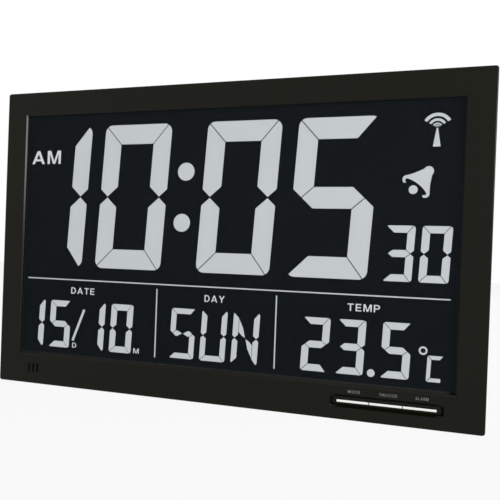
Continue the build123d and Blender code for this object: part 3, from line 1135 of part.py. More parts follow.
with BuildPart() as battery_contact_negative:
    contact_plate(BAY_LEFT, 1, LOWER_BATTERY_Z - plate_reach, LOWER_BATTERY_Z + plate_reach)
    leaf(BAY_LEFT, 1, LOWER_BATTERY_Z)
    contact_tail(LOWER_BATTERY_Z)

with BuildPart() as battery_contact_positive:
    contact_plate(BAY_LEFT, 1, UPPER_BATTERY_Z - plate_reach, UPPER_BATTERY_Z + plate_reach)
    contact_tail(UPPER_BATTERY_Z)

with BuildPart() as battery_contact_bridge:
    contact_plate(BAY_RIGHT, -1, LOWER_BATTERY_Z - plate_reach, UPPER_BATTERY_Z + plate_reach)
    leaf(BAY_RIGHT, -1, UPPER_BATTERY_Z)


def battery_lead(axis_z, lead_x):
    """A lead from a contact tail to the top edge of the main board."""
    drop = axis_z - BOARD_TOP
    with BuildPart() as lead:
        run_wire([(BAY_LEFT, WIRE_DEPTH, axis_z), (lead_x, WIRE_DEPTH, axis_z),
                  (lead_x, WIRE_DEPTH, BOARD_TOP + drop / 2), (lead_x, BOARD_CORE, BOARD_TOP + drop / 4),
                  (lead_x, BOARD_CORE, BOARD_TOP)])
    return lead


battery_lead_black = battery_lead(LOWER_BATTERY_Z, BAY_LEFT - 2 * WIRE_PITCH)
battery_lead_red = battery_lead(UPPER_BATTERY_Z, BAY_LEFT - 3 * WIRE_PITCH)

# Battery door: flat lid, round hinge edge at the bottom, two pins and grip grooves
with BuildPart() as battery_door:
    lid_base = DOOR_AXIS_Z
    block(BATTERY_X, (lid_base + DOOR_TOP) / 2, DOOR_LENGTH, DOOR_TOP - lid_base, DOOR_FRONT, DOOR_REAR)
    rod(DOOR_AXIS_DEPTH, DOOR_AXIS_Z, DOOR_THICKNESS / 2,
        BATTERY_X - DOOR_LENGTH / 2, BATTERY_X + DOOR_LENGTH / 2)
    pin_end = DOOR_LENGTH / 2 + DOOR_PIN_LENGTH
    rod(DOOR_AXIS_DEPTH, DOOR_AXIS_Z, DOOR_PIN_RADIUS, BATTERY_X - pin_end, BATTERY_X + pin_end)
    for groove in range(GRIP_COUNT):
        block(BATTERY_X, DOOR_TOP - (groove + 1) * GRIP_PITCH, GRIP_LENGTH, GRIP_WIDTH,
              DOOR_REAR - GRIP_DEPTH, DOOR_REAR, Mode.SUBTRACT)

# Fold-out stand: leg with a round hinge end, rubber pad at its foot, steel hinge pin
with BuildPart() as stand_leg:
    with BuildSketch(front_plane(LEG_FRONT)) as leg_outline:
        with Locations((0, (STAND_AXIS_Z + LEG_FOOT) / 2)):
            Rectangle(LEG_WIDTH, LEG_LENGTH)
        fillet(leg_outline.vertices().group_by(Axis.Y)[0], LEG_CORNER)
    extrude(amount=-LEG_THICKNESS)
    rod(STAND_AXIS_DEPTH, STAND_AXIS_Z, LEG_THICKNESS / 2, -LEG_WIDTH / 2, LEG_WIDTH / 2)
    rod(STAND_AXIS_DEPTH, STAND_AXIS_Z, STAND_PIN_RADIUS + STAND_PIN_CLEARANCE,
        -LEG_WIDTH / 2, LEG_WIDTH / 2, Mode.SUBTRACT)
    block(0, (STAND_AXIS_Z + LEG_FOOT) / 2, LEG_WIDTH - 2 * LEG_PANEL_MARGIN,
          LEG_LENGTH - 2 * LEG_PANEL_MARGIN, LEG_REAR - LEG_PANEL_DEPTH, LEG_REAR, Mode.SUBTRACT, LEG_CORNER)

with BuildPart() as stand_pad:
    block(0, LEG_FOOT - PAD_HEIGHT / 2, PAD_WIDTH, PAD_HEIGHT, LEG_FRONT, LEG_REAR)

with BuildPart() as stand_hinge_pin:
    rod(STAND_AXIS_DEPTH, STAND_AXIS_Z, STAND_PIN_RADIUS, -pin_reach, pin_reach)

PIECES = {
    "front_bezel": front_bezel,
    "rear_cover": rear_cover,
    "case_screws": case_screws,
    "window_tape": window_tape,
    "display_window": display_window,
    "lcd_gasket": lcd_gasket,
    "lcd_front_glass": lcd_front_glass,
    "lcd_cell_seal": lcd_cell_seal,
    "lcd_time_segments": lcd_time_segments,
    "lcd_seconds_segments": lcd_seconds_segments,
    "lcd_date_segments": lcd_date_segments,
    "lcd_day_segments": lcd_day_segments,
    "lcd_temperature_segments": lcd_temperature_segments,
    "lcd_divider_lines": lcd_divider_lines,
    "lcd_icons": lcd_icons,
    "lcd_rear_glass": lcd_rear_glass,
    "lcd_reflector": lcd_reflector,
    "lcd_carrier": lcd_carrier,
    "carrier_screws": carrier_screws,
    "zebra_strip": zebra_strip,
    "main_board": main_board,
    "main_board_screws": main_board_screws,
    "driver_chip": driver_chip,
    "crystal": crystal,
    "rear_switches": rear_switches,
    "key_board": key_board,
    "key_board_screws": key_board_screws,
    "front_switches": front_switches,
    "key_ribbon": key_ribbon,
    "mode_key": mode_key,
    "snooze_key": snooze_key,
    "alarm_key": alarm_key,
    "mode_plunger": mode_plunger,
    "snooze_plunger": snooze_plunger,
    "alarm_plunger": alarm_plunger,
    "plus_key": plus_key,
    "minus_key": minus_key,
    "plus_plunger": plus_plunger,
    "minus_plunger": minus_plunger,
    "sensor_board": sensor_board,
    "temperature_sensor": temperature_sensor,
    "sensor_leads": sensor_leads,
    "antenna_holder": antenna_holder,
    "ferrite_rod": ferrite_rod,
    "antenna_coil": antenna_coil,
    "receiver_board": receiver_board,
    "antenna_leads": antenna_leads,
    "receiver_leads": receiver_leads,
    "buzzer": buzzer,
    "buzzer_leads": buzzer_leads,
    "battery_cells": battery_cells,
    "battery_contact_negative": battery_contact_negative,
    "battery_contact_positive": battery_contact_positive,
    "battery_contact_bridge": battery_contact_bridge,
    "battery_lead_black": battery_lead_black,
    "battery_lead_red": battery_lead_red,
    "battery_door": battery_door,
    "stand_leg": stand_leg,
    "stand_pad": stand_pad,
    "stand_hinge_pin": stand_hinge_pin,
}

os.makedirs("parts", exist_ok=True)
for node, piece in PIECES.items():
    piece.part.label = node
    export_step(piece.part, f"parts/{node}.step")
print("case", CASE_WIDTH, CASE_HEIGHT, CASE_DEPTH, "pieces", len(PIECES))
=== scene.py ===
"""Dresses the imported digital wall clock: printed words, moulded marks, finishes, studio and camera."""

import logging
import math
from dataclasses import dataclass
from enum import Enum
from functools import cache
from typing import Any, Callable, Optional, Union

import bpy
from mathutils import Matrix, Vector


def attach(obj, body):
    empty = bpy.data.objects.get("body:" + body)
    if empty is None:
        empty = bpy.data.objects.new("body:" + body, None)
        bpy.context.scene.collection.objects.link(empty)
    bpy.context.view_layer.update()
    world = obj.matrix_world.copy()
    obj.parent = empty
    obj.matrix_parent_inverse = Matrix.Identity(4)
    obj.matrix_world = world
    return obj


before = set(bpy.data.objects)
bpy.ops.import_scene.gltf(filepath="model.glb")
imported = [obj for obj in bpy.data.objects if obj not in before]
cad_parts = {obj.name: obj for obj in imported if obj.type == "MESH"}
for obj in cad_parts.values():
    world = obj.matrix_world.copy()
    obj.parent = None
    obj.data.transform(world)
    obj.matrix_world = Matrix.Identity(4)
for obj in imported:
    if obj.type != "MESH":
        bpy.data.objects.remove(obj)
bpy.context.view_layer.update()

MM = 0.001
LOG = logging.getLogger("wall_clock")

Triple = tuple[float, float, float]
Colour = tuple[float, float, float]
Opaque = tuple[float, float, float, float]
Pair = tuple[float, float]
Outline = list[tuple[float, float]]
Number = Union["Signal", float]

EVEN: Triple = (1.0, 1.0, 1.0)
WHITE: Opaque = (1.0, 1.0, 1.0, 1.0)
BLANK_THICKNESS = 0.1


class Axis(Enum):
    """The clock's own directions that patterns follow."""

    ACROSS = 0
    UP = 2


class Facing(Enum):
    """The way that a flat mark looks, as the turns that stand it up, in degrees."""

    FRONT = (90.0, 0.0, 0.0)
    REAR = (90.0, 0.0, 180.0)


class Slot(Enum):
    """The record's material slots, passed with new pieces to settle, which does not read them."""

    SEGMENT = "segment_white"
    COVER = "cover_plastic"


class Pole(Enum):
    """The ends of a cell, as the columns that its sign keeps in each row of a three by three grid."""

    PLUS = ((1,), (0, 1, 2), (1,))
    MINUS = ((), (0, 1, 2), ())


def shown(red: float, green: float, blue: float) -> Colour:
    """Turn a colour as a screen shows it into the light that it stands for.

    Args:
        red: red from 0 to 255.
        green: green from 0 to 255.
        blue: blue from 0 to 255.

    Returns:
        The three linear values.
    """
    def linear(value: float) -> float:
        """Undo the screen's curve for one value."""
        share = value / 255.0
        return share / 12.92 if share <= 0.04045 else ((share + 0.055) / 1.055) ** 2.4
    return linear(red), linear(green), linear(blue)


def scaled(colour: Colour, share: float = 1.0) -> Opaque:
    """Return a colour made lighter or darker, with the opaque fourth value that sockets take."""
    return colour[0] * share, colour[1] * share, colour[2] * share, 1.0


class Signal:
    """A value in a material. Sums written with it add Math nodes."""

    def __init__(self, graph: "Graph", socket: bpy.types.NodeSocket) -> None:
        """Keep the socket and the graph that it belongs to."""
        self.graph = graph
        self.socket = socket

    def _sum(self, operation: str, first: Number, second: Number = 0.0) -> "Signal":
        """Add one Math node.

        Args:
            operation: the node's operation.
            first: its first value.
            second: its second value.

        Returns:
            The node's result.
        """
        node = self.graph.add("ShaderNodeMath", {"operation": operation}, {0: first, 1: second})
        return Signal(self.graph, node.outputs[0])

    def __add__(self, other: Number) -> "Signal":
        """Add."""
        return self._sum("ADD", self, other)

    def __radd__(self, other: Number) -> "Signal":
        """Add, with the signal on the right."""
        return self._sum("ADD", other, self)

    def __sub__(self, other: Number) -> "Signal":
        """Take away."""
        return self._sum("SUBTRACT", self, other)

    def __rsub__(self, other: Number) -> "Signal":
        """Take the signal away from a number."""
        return self._sum("SUBTRACT", other, self)

    def __mul__(self, other: Number) -> "Signal":
        """Multiply."""
        return self._sum("MULTIPLY", self, other)

    def __rmul__(self, other: Number) -> "Signal":
        """Multiply, with the signal on the right."""
        return self._sum("MULTIPLY", other, self)

    def __gt__(self, other: Number) -> "Signal":
        """Give 1 where the signal is larger, else 0."""
        return self._sum("GREATER_THAN", self, other)

    def __lt__(self, other: Number) -> "Signal":
        """Give 1 where the signal is smaller, else 0."""
        return self._sum("LESS_THAN", self, other)

    def __abs__(self) -> "Signal":
        """Give the size without its sign."""
        return self._sum("ABSOLUTE", self)


class Graph:
    """The nodes of one material or world, all made through one method."""

    def __init__(self, tree: bpy.types.NodeTree) -> None:
        """Start from an empty tree."""
        self.tree = tree
        self.tree.nodes.clear()
        self._place: Optional[bpy.types.NodeSocket] = None

    def add(self, kind: str, settings: Optional[dict[str, Any]] = None,
            sockets: Optional[dict[Any, Any]] = None) -> bpy.types.Node:
        """Add a node.

        Args:
            kind: the node's type.
            settings: what is set on the node first.
            sockets: values, signals or sockets for its inputs, by name or number.

        Returns:
            The node.
        """
        node = self.tree.nodes.new(kind)
        for name, value in (settings or {}).items():
            setattr(node, name, value)
        for key, value in (sockets or {}).items():
            source = value.socket if isinstance(value, Signal) else value
            if isinstance(source, bpy.types.NodeSocket):
                self.tree.links.new(source, node.inputs[key])
            else:
                node.inputs[key].default_value = source
        return node

    def place(self) -> bpy.types.NodeSocket:
        """Return the point on the piece, in metres in the clock's own frame."""
        if self._place is None:
            self._place = self.add("ShaderNodeTexCoord").outputs["Object"]
        return self._place

    def along(self, axis: Axis) -> Signal:
        """Return the point's distance along one of the clock's directions, in metres."""
        split = self.add("ShaderNodeSeparateXYZ", None, {0: self.place()})
        return Signal(self, split.outputs[axis.value])

    def noise(self, grain_mm: float, detail: float = 2.0, stretch: Triple = EVEN) -> Signal:
        """Add a soft random pattern.

        Args:
            grain_mm: the size of its spots.
            detail: how many finer layers it has.
            stretch: how much finer it is in each direction.

        Returns:
            The pattern, from 0 to 1.
        """
        run = self.add("ShaderNodeMapping", None, {"Vector": self.place(), "Scale": stretch})
        node = self.add("ShaderNodeTexNoise", {"noise_dimensions": "3D"},
                        {"Vector": run.outputs["Vector"], "Scale": 1.0 / (grain_mm * MM), "Detail": detail})
        return Signal(self, node.outputs["Fac"])

    def cells(self, size_mm: float) -> Signal:
        """Return the distance from the middle of each cell in a packed pattern, from 0 to about 1."""
        node = self.add("ShaderNodeTexVoronoi", {"voronoi_dimensions": "3D"},
                        {"Vector": self.place(), "Scale": 1.0 / (size_mm * MM)})
        return Signal(self, node.outputs["Distance"])

    def waves(self, axis: Axis, pitch_mm: float) -> Signal:
        """Add even bands across one direction.

        Args:
            axis: the direction that the bands follow each other in.
            pitch_mm: from one band to the next.

        Returns:
            The bands, from 0 to 1.
        """
        turns = self.along(axis) * (math.tau / (pitch_mm * MM))
        sine = self.add("ShaderNodeMath", {"operation": "SINE"}, {0: turns})
        return Signal(self, sine.outputs[0]) * 0.5 + 0.5

    def seen(self) -> Signal:
        """Return 1 for rays that show the surround: from the camera, off gloss or through glass."""
        path = self.add("ShaderNodeLightPath")
        camera, gloss, glass = [Signal(self, path.outputs[name]) for name in
                                ("Is Camera Ray", "Is Glossy Ray", "Is Transmission Ray")]
        return camera + gloss + glass

    def blend(self, mask: Number, first: Any, second: Any) -> bpy.types.NodeSocket:
        """Mix two colours.

        Args:
            mask: 0 for the first colour and 1 for the second.
            first: a colour or a colour socket.
            second: a colour or a colour socket.

        Returns:
            The mixed colour.
        """
        node = self.add("ShaderNodeMix", {"data_type": "RGBA", "clamp_factor": True},
                        {0: mask, 6: first, 7: second})
        return node.outputs[2]

    def tone(self, mask: Number, colour: Colour, tones: Pair, share: float = 1.0) -> bpy.types.NodeSocket:
        """Let a colour run between two tones of itself.

        Args:
            mask: 0 for the first tone and 1 for the second.
            colour: the colour.
            tones: how light each tone is, against the colour.
            share: what makes both lighter or darker.

        Returns:
            The colour that runs between them.
        """
        return self.blend(mask, scaled(colour, tones[0] * share), scaled(colour, tones[1] * share))

    def relief(self, height: Signal, depth_mm: float) -> bpy.types.NodeSocket:
        """Return the normal of a surface that a pattern raises by up to the depth."""
        node = self.add("ShaderNodeBump", None,
                        {"Height": height, "Distance": depth_mm * MM, "Strength": 1.0})
        return node.outputs["Normal"]

    def mixed(self, share: Number, first: bpy.types.Node, second: bpy.types.Node) -> bpy.types.Node:
        """Return a mix of two shaders, which is all the second where the share is 1."""
        return self.add("ShaderNodeMixShader", None, {0: share, 1: first.outputs[0], 2: second.outputs[0]})

    def show(self, shader: bpy.types.Node, output: str = "ShaderNodeOutputMaterial") -> None:
        """Lead a shader to the surface."""
        self.add(output, None, {"Surface": shader.outputs[0]})

    def surface(self, sockets: dict[str, Any]) -> None:
        """Add the usual shader with its sockets and show it."""
        self.show(self.add("ShaderNodeBsdfPrincipled", None, sockets))


@dataclass(frozen=True)
class Finish:
    """A finish that pieces are dressed in. Each kind says what its nodes are."""

    name: str

    def nodes(self, graph: Graph) -> None:
        """Add the finish's nodes to an empty graph."""
        raise NotImplementedError

    @cache
    def material(self) -> bpy.types.Material:
        """Return the finish's material, made on its first use."""
        made = bpy.data.materials.new(self.name)
        made.use_nodes = True
        self.nodes(Graph(made.node_tree))
        return made

    def dress(self, piece: bpy.types.Object) -> None:
        """Make this the only material of a piece."""
        piece.data.materials.clear()
        piece.data.materials.append(self.material())


@dataclass(frozen=True)
class GrainedFinish(Finish):
    """A finish whose tone, gloss and height follow patterns in it."""

    colour: Colour = (0.02, 0.02, 0.02)
    relief_mm: float = 0.01
    roughness: float = 0.45
    specular: float = 0.5
    gloss_swing: float = 0.2
    tones: Pair = (0.84, 1.16)
    metallic: float = 0.0

    def shade(self, graph: Graph, uneven: Signal, gloss: Signal, height: Signal) -> None:
        """Show the surface.

        Args:
            graph: the finish's graph.
            uneven: the pattern that the tone follows.
            gloss: the pattern that the roughness follows.
            height: the pattern that stands out in relief.
        """
        graph.surface({
            "Base Color": graph.tone(uneven, self.colour, self.tones),
            "Metallic": self.metallic,
            "Roughness": gloss * self.gloss_swing + self.roughness,
            "Specular IOR Level": self.specular,
            "Normal": graph.relief(height, self.relief_mm),
        })


@dataclass(frozen=True)
class MouldedPlastic(GrainedFinish):
    """Plastic from a spark-textured mould: fine even pits, and a tone that drifts a little."""

    grain_mm: float = 0.5
    drift_grains: float = 70.0
    drift_share: float = 0.7

    def nodes(self, graph: Graph) -> None:
        """Add pits, a drifting tone and the uneven gloss that goes with the pits."""
        pits = graph.noise(self.grain_mm, detail=3.0)
        drift = graph.noise(self.grain_mm * self.drift_grains, detail=1.0)
        self.shade(graph, drift * self.drift_share + pits * (1.0 - self.drift_share), pits - 0.5, pits)


@dataclass(frozen=True)
class ClearSheet(Finish):
    """A clear pane with an anti-glare skin: it shows what is behind it and keeps a trace of gloss."""

    gloss: float = 0.006
    roughness: float = 0.12
    colour: Colour = (0.01, 0.012, 0.014)
    skin_mm: float = 40.0
    thinnest: float = 0.75
    skin_swing: float = 0.5

    def nodes(self, graph: Graph) -> None:
        """Mix a clear shader with a little gloss, more of it where the skin is thicker."""
        skin = graph.noise(self.skin_mm, detail=1.0)
        clear = graph.add("ShaderNodeBsdfTransparent")
        gloss = graph.add("ShaderNodeBsdfPrincipled", None, {
            "Base Color": scaled(self.colour), "Roughness": self.roughness, "Specular IOR Level": 1.0})
        graph.show(graph.mixed((skin * self.skin_swing + self.thinnest) * self.gloss, clear, gloss))


@dataclass(frozen=True)
class DisplayBack(Finish):
    """The display's dark field: blue-black, with a filled cell's faint cloud, and part of its tone painted on
    as glow that stands in for light falling on it.
    """

    colour: Colour = shown(20, 24, 27)
    # share of the tone that is painted glow: emission standing in for light, as the cell gives off none
    painted_glow: float = 0.75
    tones: Pair = (0.9, 1.1)
    detail: float = 2.0
    cloud_mm: float = 60.0
    cloud_share: float = 0.6
    grain_mm: float = 0.8
    grain_run: Triple = (0.1, 1.0, 1.0)
    roughness: float = 0.55
    gloss_swing: float = 0.1

    def nodes(self, graph: Graph) -> None:
        """Add the cloud and a fine grain, and paint part of the tone on as glow, so that the field looks
        evenly lit up to the window's walls.
        """
        cloud = graph.noise(self.cloud_mm, self.detail)
        grain = graph.noise(self.grain_mm, self.detail, self.grain_run)
        uneven = cloud * self.cloud_share + grain * (1.0 - self.cloud_share)
        # the emission below is painted glow; the base colour keeps the rest of the tone
        graph.surface({
            "Base Color": graph.tone(uneven, self.colour, self.tones, 1.0 - self.painted_glow),
            "Emission Color": graph.tone(uneven, self.colour, self.tones),
            "Emission Strength": self.painted_glow,
            "Roughness": grain * self.gloss_swing + self.roughness,
            "Specular IOR Level": 0.0,
        })


@dataclass(frozen=True)
class LitSegment(DisplayBack):
    """A segment that is switched on: pale grey, uneven as a liquid crystal is, with its spacers' speckle, and
    part of its tone painted on as glow.
    """

    # the segments' painted glow: emission standing in for light
    painted_glow: float = 0.7
    tones: Pair = (0.96, 1.04)
    detail: float = 1.0
    cloud_mm: float = 25.0
    grain_mm: float = 0.35
    grain_run: Triple = EVEN
    roughness: float = 0.7


@dataclass(frozen=True)
class PrintedInk(GrainedFinish):
    """Screen-printed ink: even, with the dots of the mesh and thin places in it."""

    relief_mm: float = 0.004
    specular: float = 0.25
    tones: Pair = (1.06, 0.86)
    mesh_mm: float = 0.12
    thin_mm: float = 0.6
    uneven_share: float = 0.4

    def nodes(self, graph: Graph) -> None:
        """Add the mesh dots and the thin places."""
        dots = graph.cells(self.mesh_mm)
        thin = graph.noise(self.thin_mm)
        self.shade(graph, (dots + thin) * self.uneven_share, thin, 1 - dots)


@dataclass(frozen=True)
class SilverCoat(GrainedFinish):
    """Plastic with a bright metal coat, brushed along its length."""

    colour: Colour = (0.92, 0.92, 0.89)
    relief_mm: float = 0.002
    roughness: float = 0.2
    tones: Pair = (0.93, 1.05)
    metallic: float = 1.0
    brush_mm: float = 0.16
    brush_run: Triple = (0.03, 1.0, 1.0)
    brush_share: float = 0.7
    cloud_mm: float = 6.0

    def nodes(self, graph: Graph) -> None:
        """Add the long fine scratches of the brushing."""
        brushing = graph.noise(self.brush_mm, 3.0, self.brush_run)
        cloud = graph.noise(self.cloud_mm, detail=1.0)
        uneven = brushing * self.brush_share + cloud * (1.0 - self.brush_share)
        self.shade(graph, uneven, brushing - 0.5, brushing)


@dataclass(frozen=True)
class BareSteel(GrainedFinish):
    """Drawn or stamped steel with a thin plating, fine scratches and duller patches."""

    colour: Colour = (0.6, 0.6, 0.59)
    relief_mm: float = 0.003
    roughness: float = 0.2
    gloss_swing: float = 0.25
    tones: Pair = (0.82, 1.1)
    metallic: float = 1.0
    scratch_mm: float = 0.2
    scratch_run: Triple = (1.0, 1.0, 0.08)
    scratch_share: float = 0.6
    patch_mm: float = 4.0

    def nodes(self, graph: Graph) -> None:
        """Add the scratches and the patches."""
        scratches = graph.noise(self.scratch_mm, 3.0, self.scratch_run)
        patches = graph.noise(self.patch_mm)
        dull = scratches * self.scratch_share + patches * (1.0 - self.scratch_share)
        self.shade(graph, patches, dull, scratches)


@dataclass(frozen=True)
class SoftRubber(GrainedFinish):
    """Dull rubber or foam tape: a fine open grain with a bloom of pale dust in it."""

    relief_mm: float = 0.02
    roughness: float = 0.75
    specular: float = 0.2
    gloss_swing: float = 0.15
    tones: Pair = (0.8, 1.35)
    grain_mm: float = 0.3
    grain_share: float = 0.3
    bloom_mm: float = 5.0
    bloom_share: float = 0.6

    def nodes(self, graph: Graph) -> None:
        """Add the grain and the bloom."""
        grain = graph.cells(self.grain_mm)
        bloom = graph.noise(self.bloom_mm, detail=3.0)
        self.shade(graph, bloom * self.bloom_share + grain * self.grain_share, bloom, grain)


@dataclass(frozen=True)
class CircuitBoard(Finish):
    """Solder mask over copper tracks: paler lines where the copper runs, and tinned spots on them."""

    mask: Colour = (0.012, 0.095, 0.035)
    over_copper: Colour = (0.03, 0.17, 0.06)
    tin: Colour = (0.62, 0.6, 0.54)
    patch_mm: float = 14.0
    track_mm: float = 1.27
    track_from: float = 0.72
    track_rise: float = 0.7
    spot_mm: float = 5.0
    spot_reach: float = 0.09
    weave_mm: float = 0.5
    weave_rise: float = 0.2
    relief_mm: float = 0.035
    roughness: float = 0.28
    gloss_swing: float = 0.15

    def nodes(self, graph: Graph) -> None:
        """Add tracks that turn between two directions by patches, and tinned spots."""
        patches = graph.noise(self.patch_mm, detail=0.0) > 0.5
        level = graph.waves(Axis.UP, self.track_mm) > self.track_from
        upright = graph.waves(Axis.ACROSS, self.track_mm) > self.track_from
        tracks = level * patches + upright * (1 - patches)
        spots = graph.cells(self.spot_mm) < self.spot_reach
        weave = graph.noise(self.weave_mm)
        green = graph.blend(tracks, scaled(self.mask), scaled(self.over_copper))
        graph.surface({
            "Base Color": graph.blend(spots, green, scaled(self.tin)),
            "Metallic": spots,
            "Roughness": weave * self.gloss_swing + self.roughness,
            "Normal": graph.relief(tracks * self.track_rise + weave * self.weave_rise, self.relief_mm),
        })


@dataclass(frozen=True)
class BatteryJacket(Finish):
    """Two plain cells in opposite directions: dark jacket, copper-coloured band, bare metal ends."""

    jacket: Colour = (0.03, 0.045, 0.08)
    band: Colour = (0.5, 0.24, 0.09)
    metal: Colour = (0.62, 0.61, 0.58)
    middle_mm: Pair = (95.0, 105.0)
    band_from_mm: float = 9.0
    metal_from_mm: float = 24.2
    scuff_mm: float = 1.2
    scuff_run: Triple = (0.3, 1.0, 1.0)
    scuff_share: float = 0.25
    scuff_tone: float = 0.4
    roughness: float = 0.18
    gloss_swing: float = 0.2

    def nodes(self, graph: Graph) -> None:
        """Find the distance towards each cell's raised end and colour the cell by it."""
        upper = graph.along(Axis.UP) > self.middle_mm[1] * MM
        towards = (graph.along(Axis.ACROSS) - self.middle_mm[0] * MM) * (1 - upper * 2.0)
        band = towards > self.band_from_mm * MM
        ends = abs(towards) > self.metal_from_mm * MM
        scuffs = graph.noise(self.scuff_mm, 4.0, self.scuff_run)
        film = graph.blend(band, scaled(self.jacket), scaled(self.band))
        worn = graph.blend(scuffs * self.scuff_share, film, scaled(self.metal, self.scuff_tone))
        graph.surface({
            "Base Color": graph.blend(ends, worn, scaled(self.metal)),
            "Metallic": ends,
            "Roughness": scuffs * self.gloss_swing + self.roughness,
        })


@dataclass(frozen=True)
class CopperWinding(GrainedFinish):
    """Enamelled copper wire laid turn beside turn."""

    colour: Colour = (0.62, 0.27, 0.1)
    relief_mm: float = 0.12
    roughness: float = 0.25
    gloss_swing: float = 0.15
    # the low tone is painted shade in the gaps between the turns
    tones: Pair = (0.35, 1.1)
    metallic: float = 1.0
    pitch_mm: float = 0.35
    gap_shade_share: float = 0.7
    cloud_mm: float = 3.0

    def nodes(self, graph: Graph) -> None:
        """Add the turns, with painted shade that darkens the gaps between them, and a cloudy tone."""
        turns = graph.waves(Axis.ACROSS, self.pitch_mm)
        cloud = graph.noise(self.cloud_mm)
        # the tone that follows the turns is painted shade in the gaps between them
        self.shade(graph, turns * self.gap_shade_share + cloud * (1.0 - self.gap_shade_share), cloud, turns)


@dataclass(frozen=True)
class WireCover(GrainedFinish):
    """The soft plastic cover of a lead, with the faint rings that drawing leaves on it."""

    roughness: float = 0.35
    specular: float = 0.4
    tones: Pair = (0.78, 1.18)
    ring_mm: float = 0.7
    smudge_mm: float = 2.5

    def nodes(self, graph: Graph) -> None:
        """Add the rings and a smudged tone."""
        rings = graph.waves(Axis.UP, self.ring_mm)
        smudge = graph.noise(self.smudge_mm, detail=3.0)
        self.shade(graph, smudge, smudge, rings)


@dataclass(frozen=True)
class PressedFerrite(GrainedFinish):
    """Pressed and fired iron oxide: dark grey, dull, with pores and glints."""

    colour: Colour = (0.05, 0.048, 0.046)
    relief_mm: float = 0.04
    roughness: float = 0.75
    gloss_swing: float = -0.3
    tones: Pair = (0.6, 1.3)
    pore_mm: float = 0.7
    glint_mm: float = 0.25
    glint_from: float = 0.66

    def nodes(self, graph: Graph) -> None:
        """Add the pores and the glints."""
        pores = graph.cells(self.pore_mm)
        glints = graph.noise(self.glint_mm) > self.glint_from
        self.shade(graph, pores, glints, pores)


@dataclass(frozen=True)
class PaleFloor(Finish):
    """A pale floor that looks nearly white and keeps a soft shadow."""

    colour: Colour = (0.8, 0.8, 0.8)
    tones: Pair = (0.98, 1.02)
    paper_mm: float = 3.0
    white_share: float = 0.9

    def nodes(self, graph: Graph) -> None:
        """Mix a paper tone with white for the rays that show the surround."""
        paper = graph.noise(self.paper_mm, detail=3.0)
        tone = graph.tone(paper, self.colour, self.tones)
        plain = graph.add("ShaderNodeBsdfDiffuse", None, {"Color": tone})
        white = graph.add("ShaderNodeEmission", None, {"Color": WHITE, "Strength": 1.0})
        graph.show(graph.mixed(graph.seen() * self.white_share, plain, white))


BEZEL_BLACK = MouldedPlastic("satin_black_bezel", (0.0045, 0.0044, 0.0018), 0.006, 0.22, 0.13, grain_mm=0.55)
COVER_BLACK = MouldedPlastic("textured_black_cover", (0.015, 0.015, 0.0141), 0.03, 0.5, 0.25, grain_mm=0.8)
KEY_BLACK = MouldedPlastic("dull_black_moulding", (0.028, 0.028, 0.028), 0.015, 0.45, 0.3, grain_mm=0.6)
WHITE_PLASTIC = MouldedPlastic("white_moulding", shown(228, 228, 224), 0.012, 0.45, 0.4, grain_mm=0.6)
CARRIER_GREY = MouldedPlastic("grey_moulding", shown(186, 188, 186), 0.02, 0.5, 0.4, grain_mm=0.7)
CLEAR_WINDOW = ClearSheet("clear_window_pane")
DISPLAY_GLASS = ClearSheet("clear_cell_glass", 0.003, 0.2)
# the dark field, the segments and the cell's words below all carry painted glow
DISPLAY_BACK = DisplayBack("dark_display_field")
SEGMENT_WHITE = LitSegment("segment_on", shown(197, 202, 203))
LABEL_WHITE = LitSegment("label_on", shown(212, 216, 217))
KEY_NAME_INK = PrintedInk("key_name_ink", shown(150, 150, 146))
KEY_SILVER = SilverCoat("bright_silver_coat")
STEEL = BareSteel("plated_steel")
BLACK_RUBBER = SoftRubber("dull_black_rubber", shown(36, 36, 36), grain_mm=0.35)
BLACK_TAPE = SoftRubber("black_foam_tape", shown(34, 34, 34), grain_mm=0.15)
BOARD_GREEN = CircuitBoard("green_solder_mask")
FERRITE = PressedFerrite("pressed_ferrite")
COPPER = CopperWinding("enamelled_copper")
JACKET = BatteryJacket("cell_jacket")
RED_LEAD = WireCover("red_wire_cover", shown(178, 34, 34))
BLACK_LEAD = WireCover("black_wire_cover", shown(34, 34, 34))
WHITE_LEAD = WireCover("white_wire_cover", shown(220, 220, 216))
FLOOR_WHITE = PaleFloor("studio_floor")


def select_only(piece: bpy.types.Object) -> None:
    """Make a piece the only selected and the active one."""
    bpy.ops.object.select_all(action="DESELECT")
    piece.select_set(True)
    bpy.context.view_layer.objects.active = piece


def work_in(piece: bpy.types.Object) -> None:
    """Work a piece's place, turn and scale into its mesh."""
    select_only(piece)
    bpy.ops.object.transform_apply(location=True, rotation=True, scale=True)


def reach(piece: bpy.types.Object) -> tuple[list[float], list[float]]:
    """Return the low and the high corner of the box round a piece's mesh."""
    sides = list(zip(*(vertex.co for vertex in piece.data.vertices)))
    return [min(side) for side in sides], [max(side) for side in sides]


def open_whole() -> bpy.types.Object:
    """Open the piece just added for editing, with all of it selected, and return it."""
    bpy.ops.object.mode_set(mode="EDIT")
    bpy.ops.mesh.select_all(action="SELECT")
    return bpy.context.active_object


def pick_faces(piece: bpy.types.Object, wanted: Callable[[Vector], bool]) -> None:
    """Open a piece for editing with only some of its faces selected.

    Args:
        piece: the piece, which is the active one.
        wanted: says of a face's middle whether the face is selected.
    """
    bpy.ops.object.mode_set(mode="EDIT")
    bpy.ops.mesh.select_mode(type="FACE")
    bpy.ops.mesh.select_all(action="DESELECT")
    bpy.ops.object.mode_set(mode="OBJECT")
    for face in piece.data.polygons:
        face.select = wanted(face.center)
    bpy.ops.object.mode_set(mode="EDIT")


def thickened(piece: bpy.types.Object) -> bpy.types.Object:
    """Close a flat piece after editing, give it a blank's thickness and return it."""
    bpy.ops.object.mode_set(mode="OBJECT")
    select_only(piece)
    bpy.ops.object.modifier_add(type="SOLIDIFY")
    solidify = piece.modifiers[-1]
    solidify.thickness, solidify.offset = BLANK_THICKNESS, 0.0
    bpy.ops.object.modifier_apply(modifier=solidify.name)
    return piece


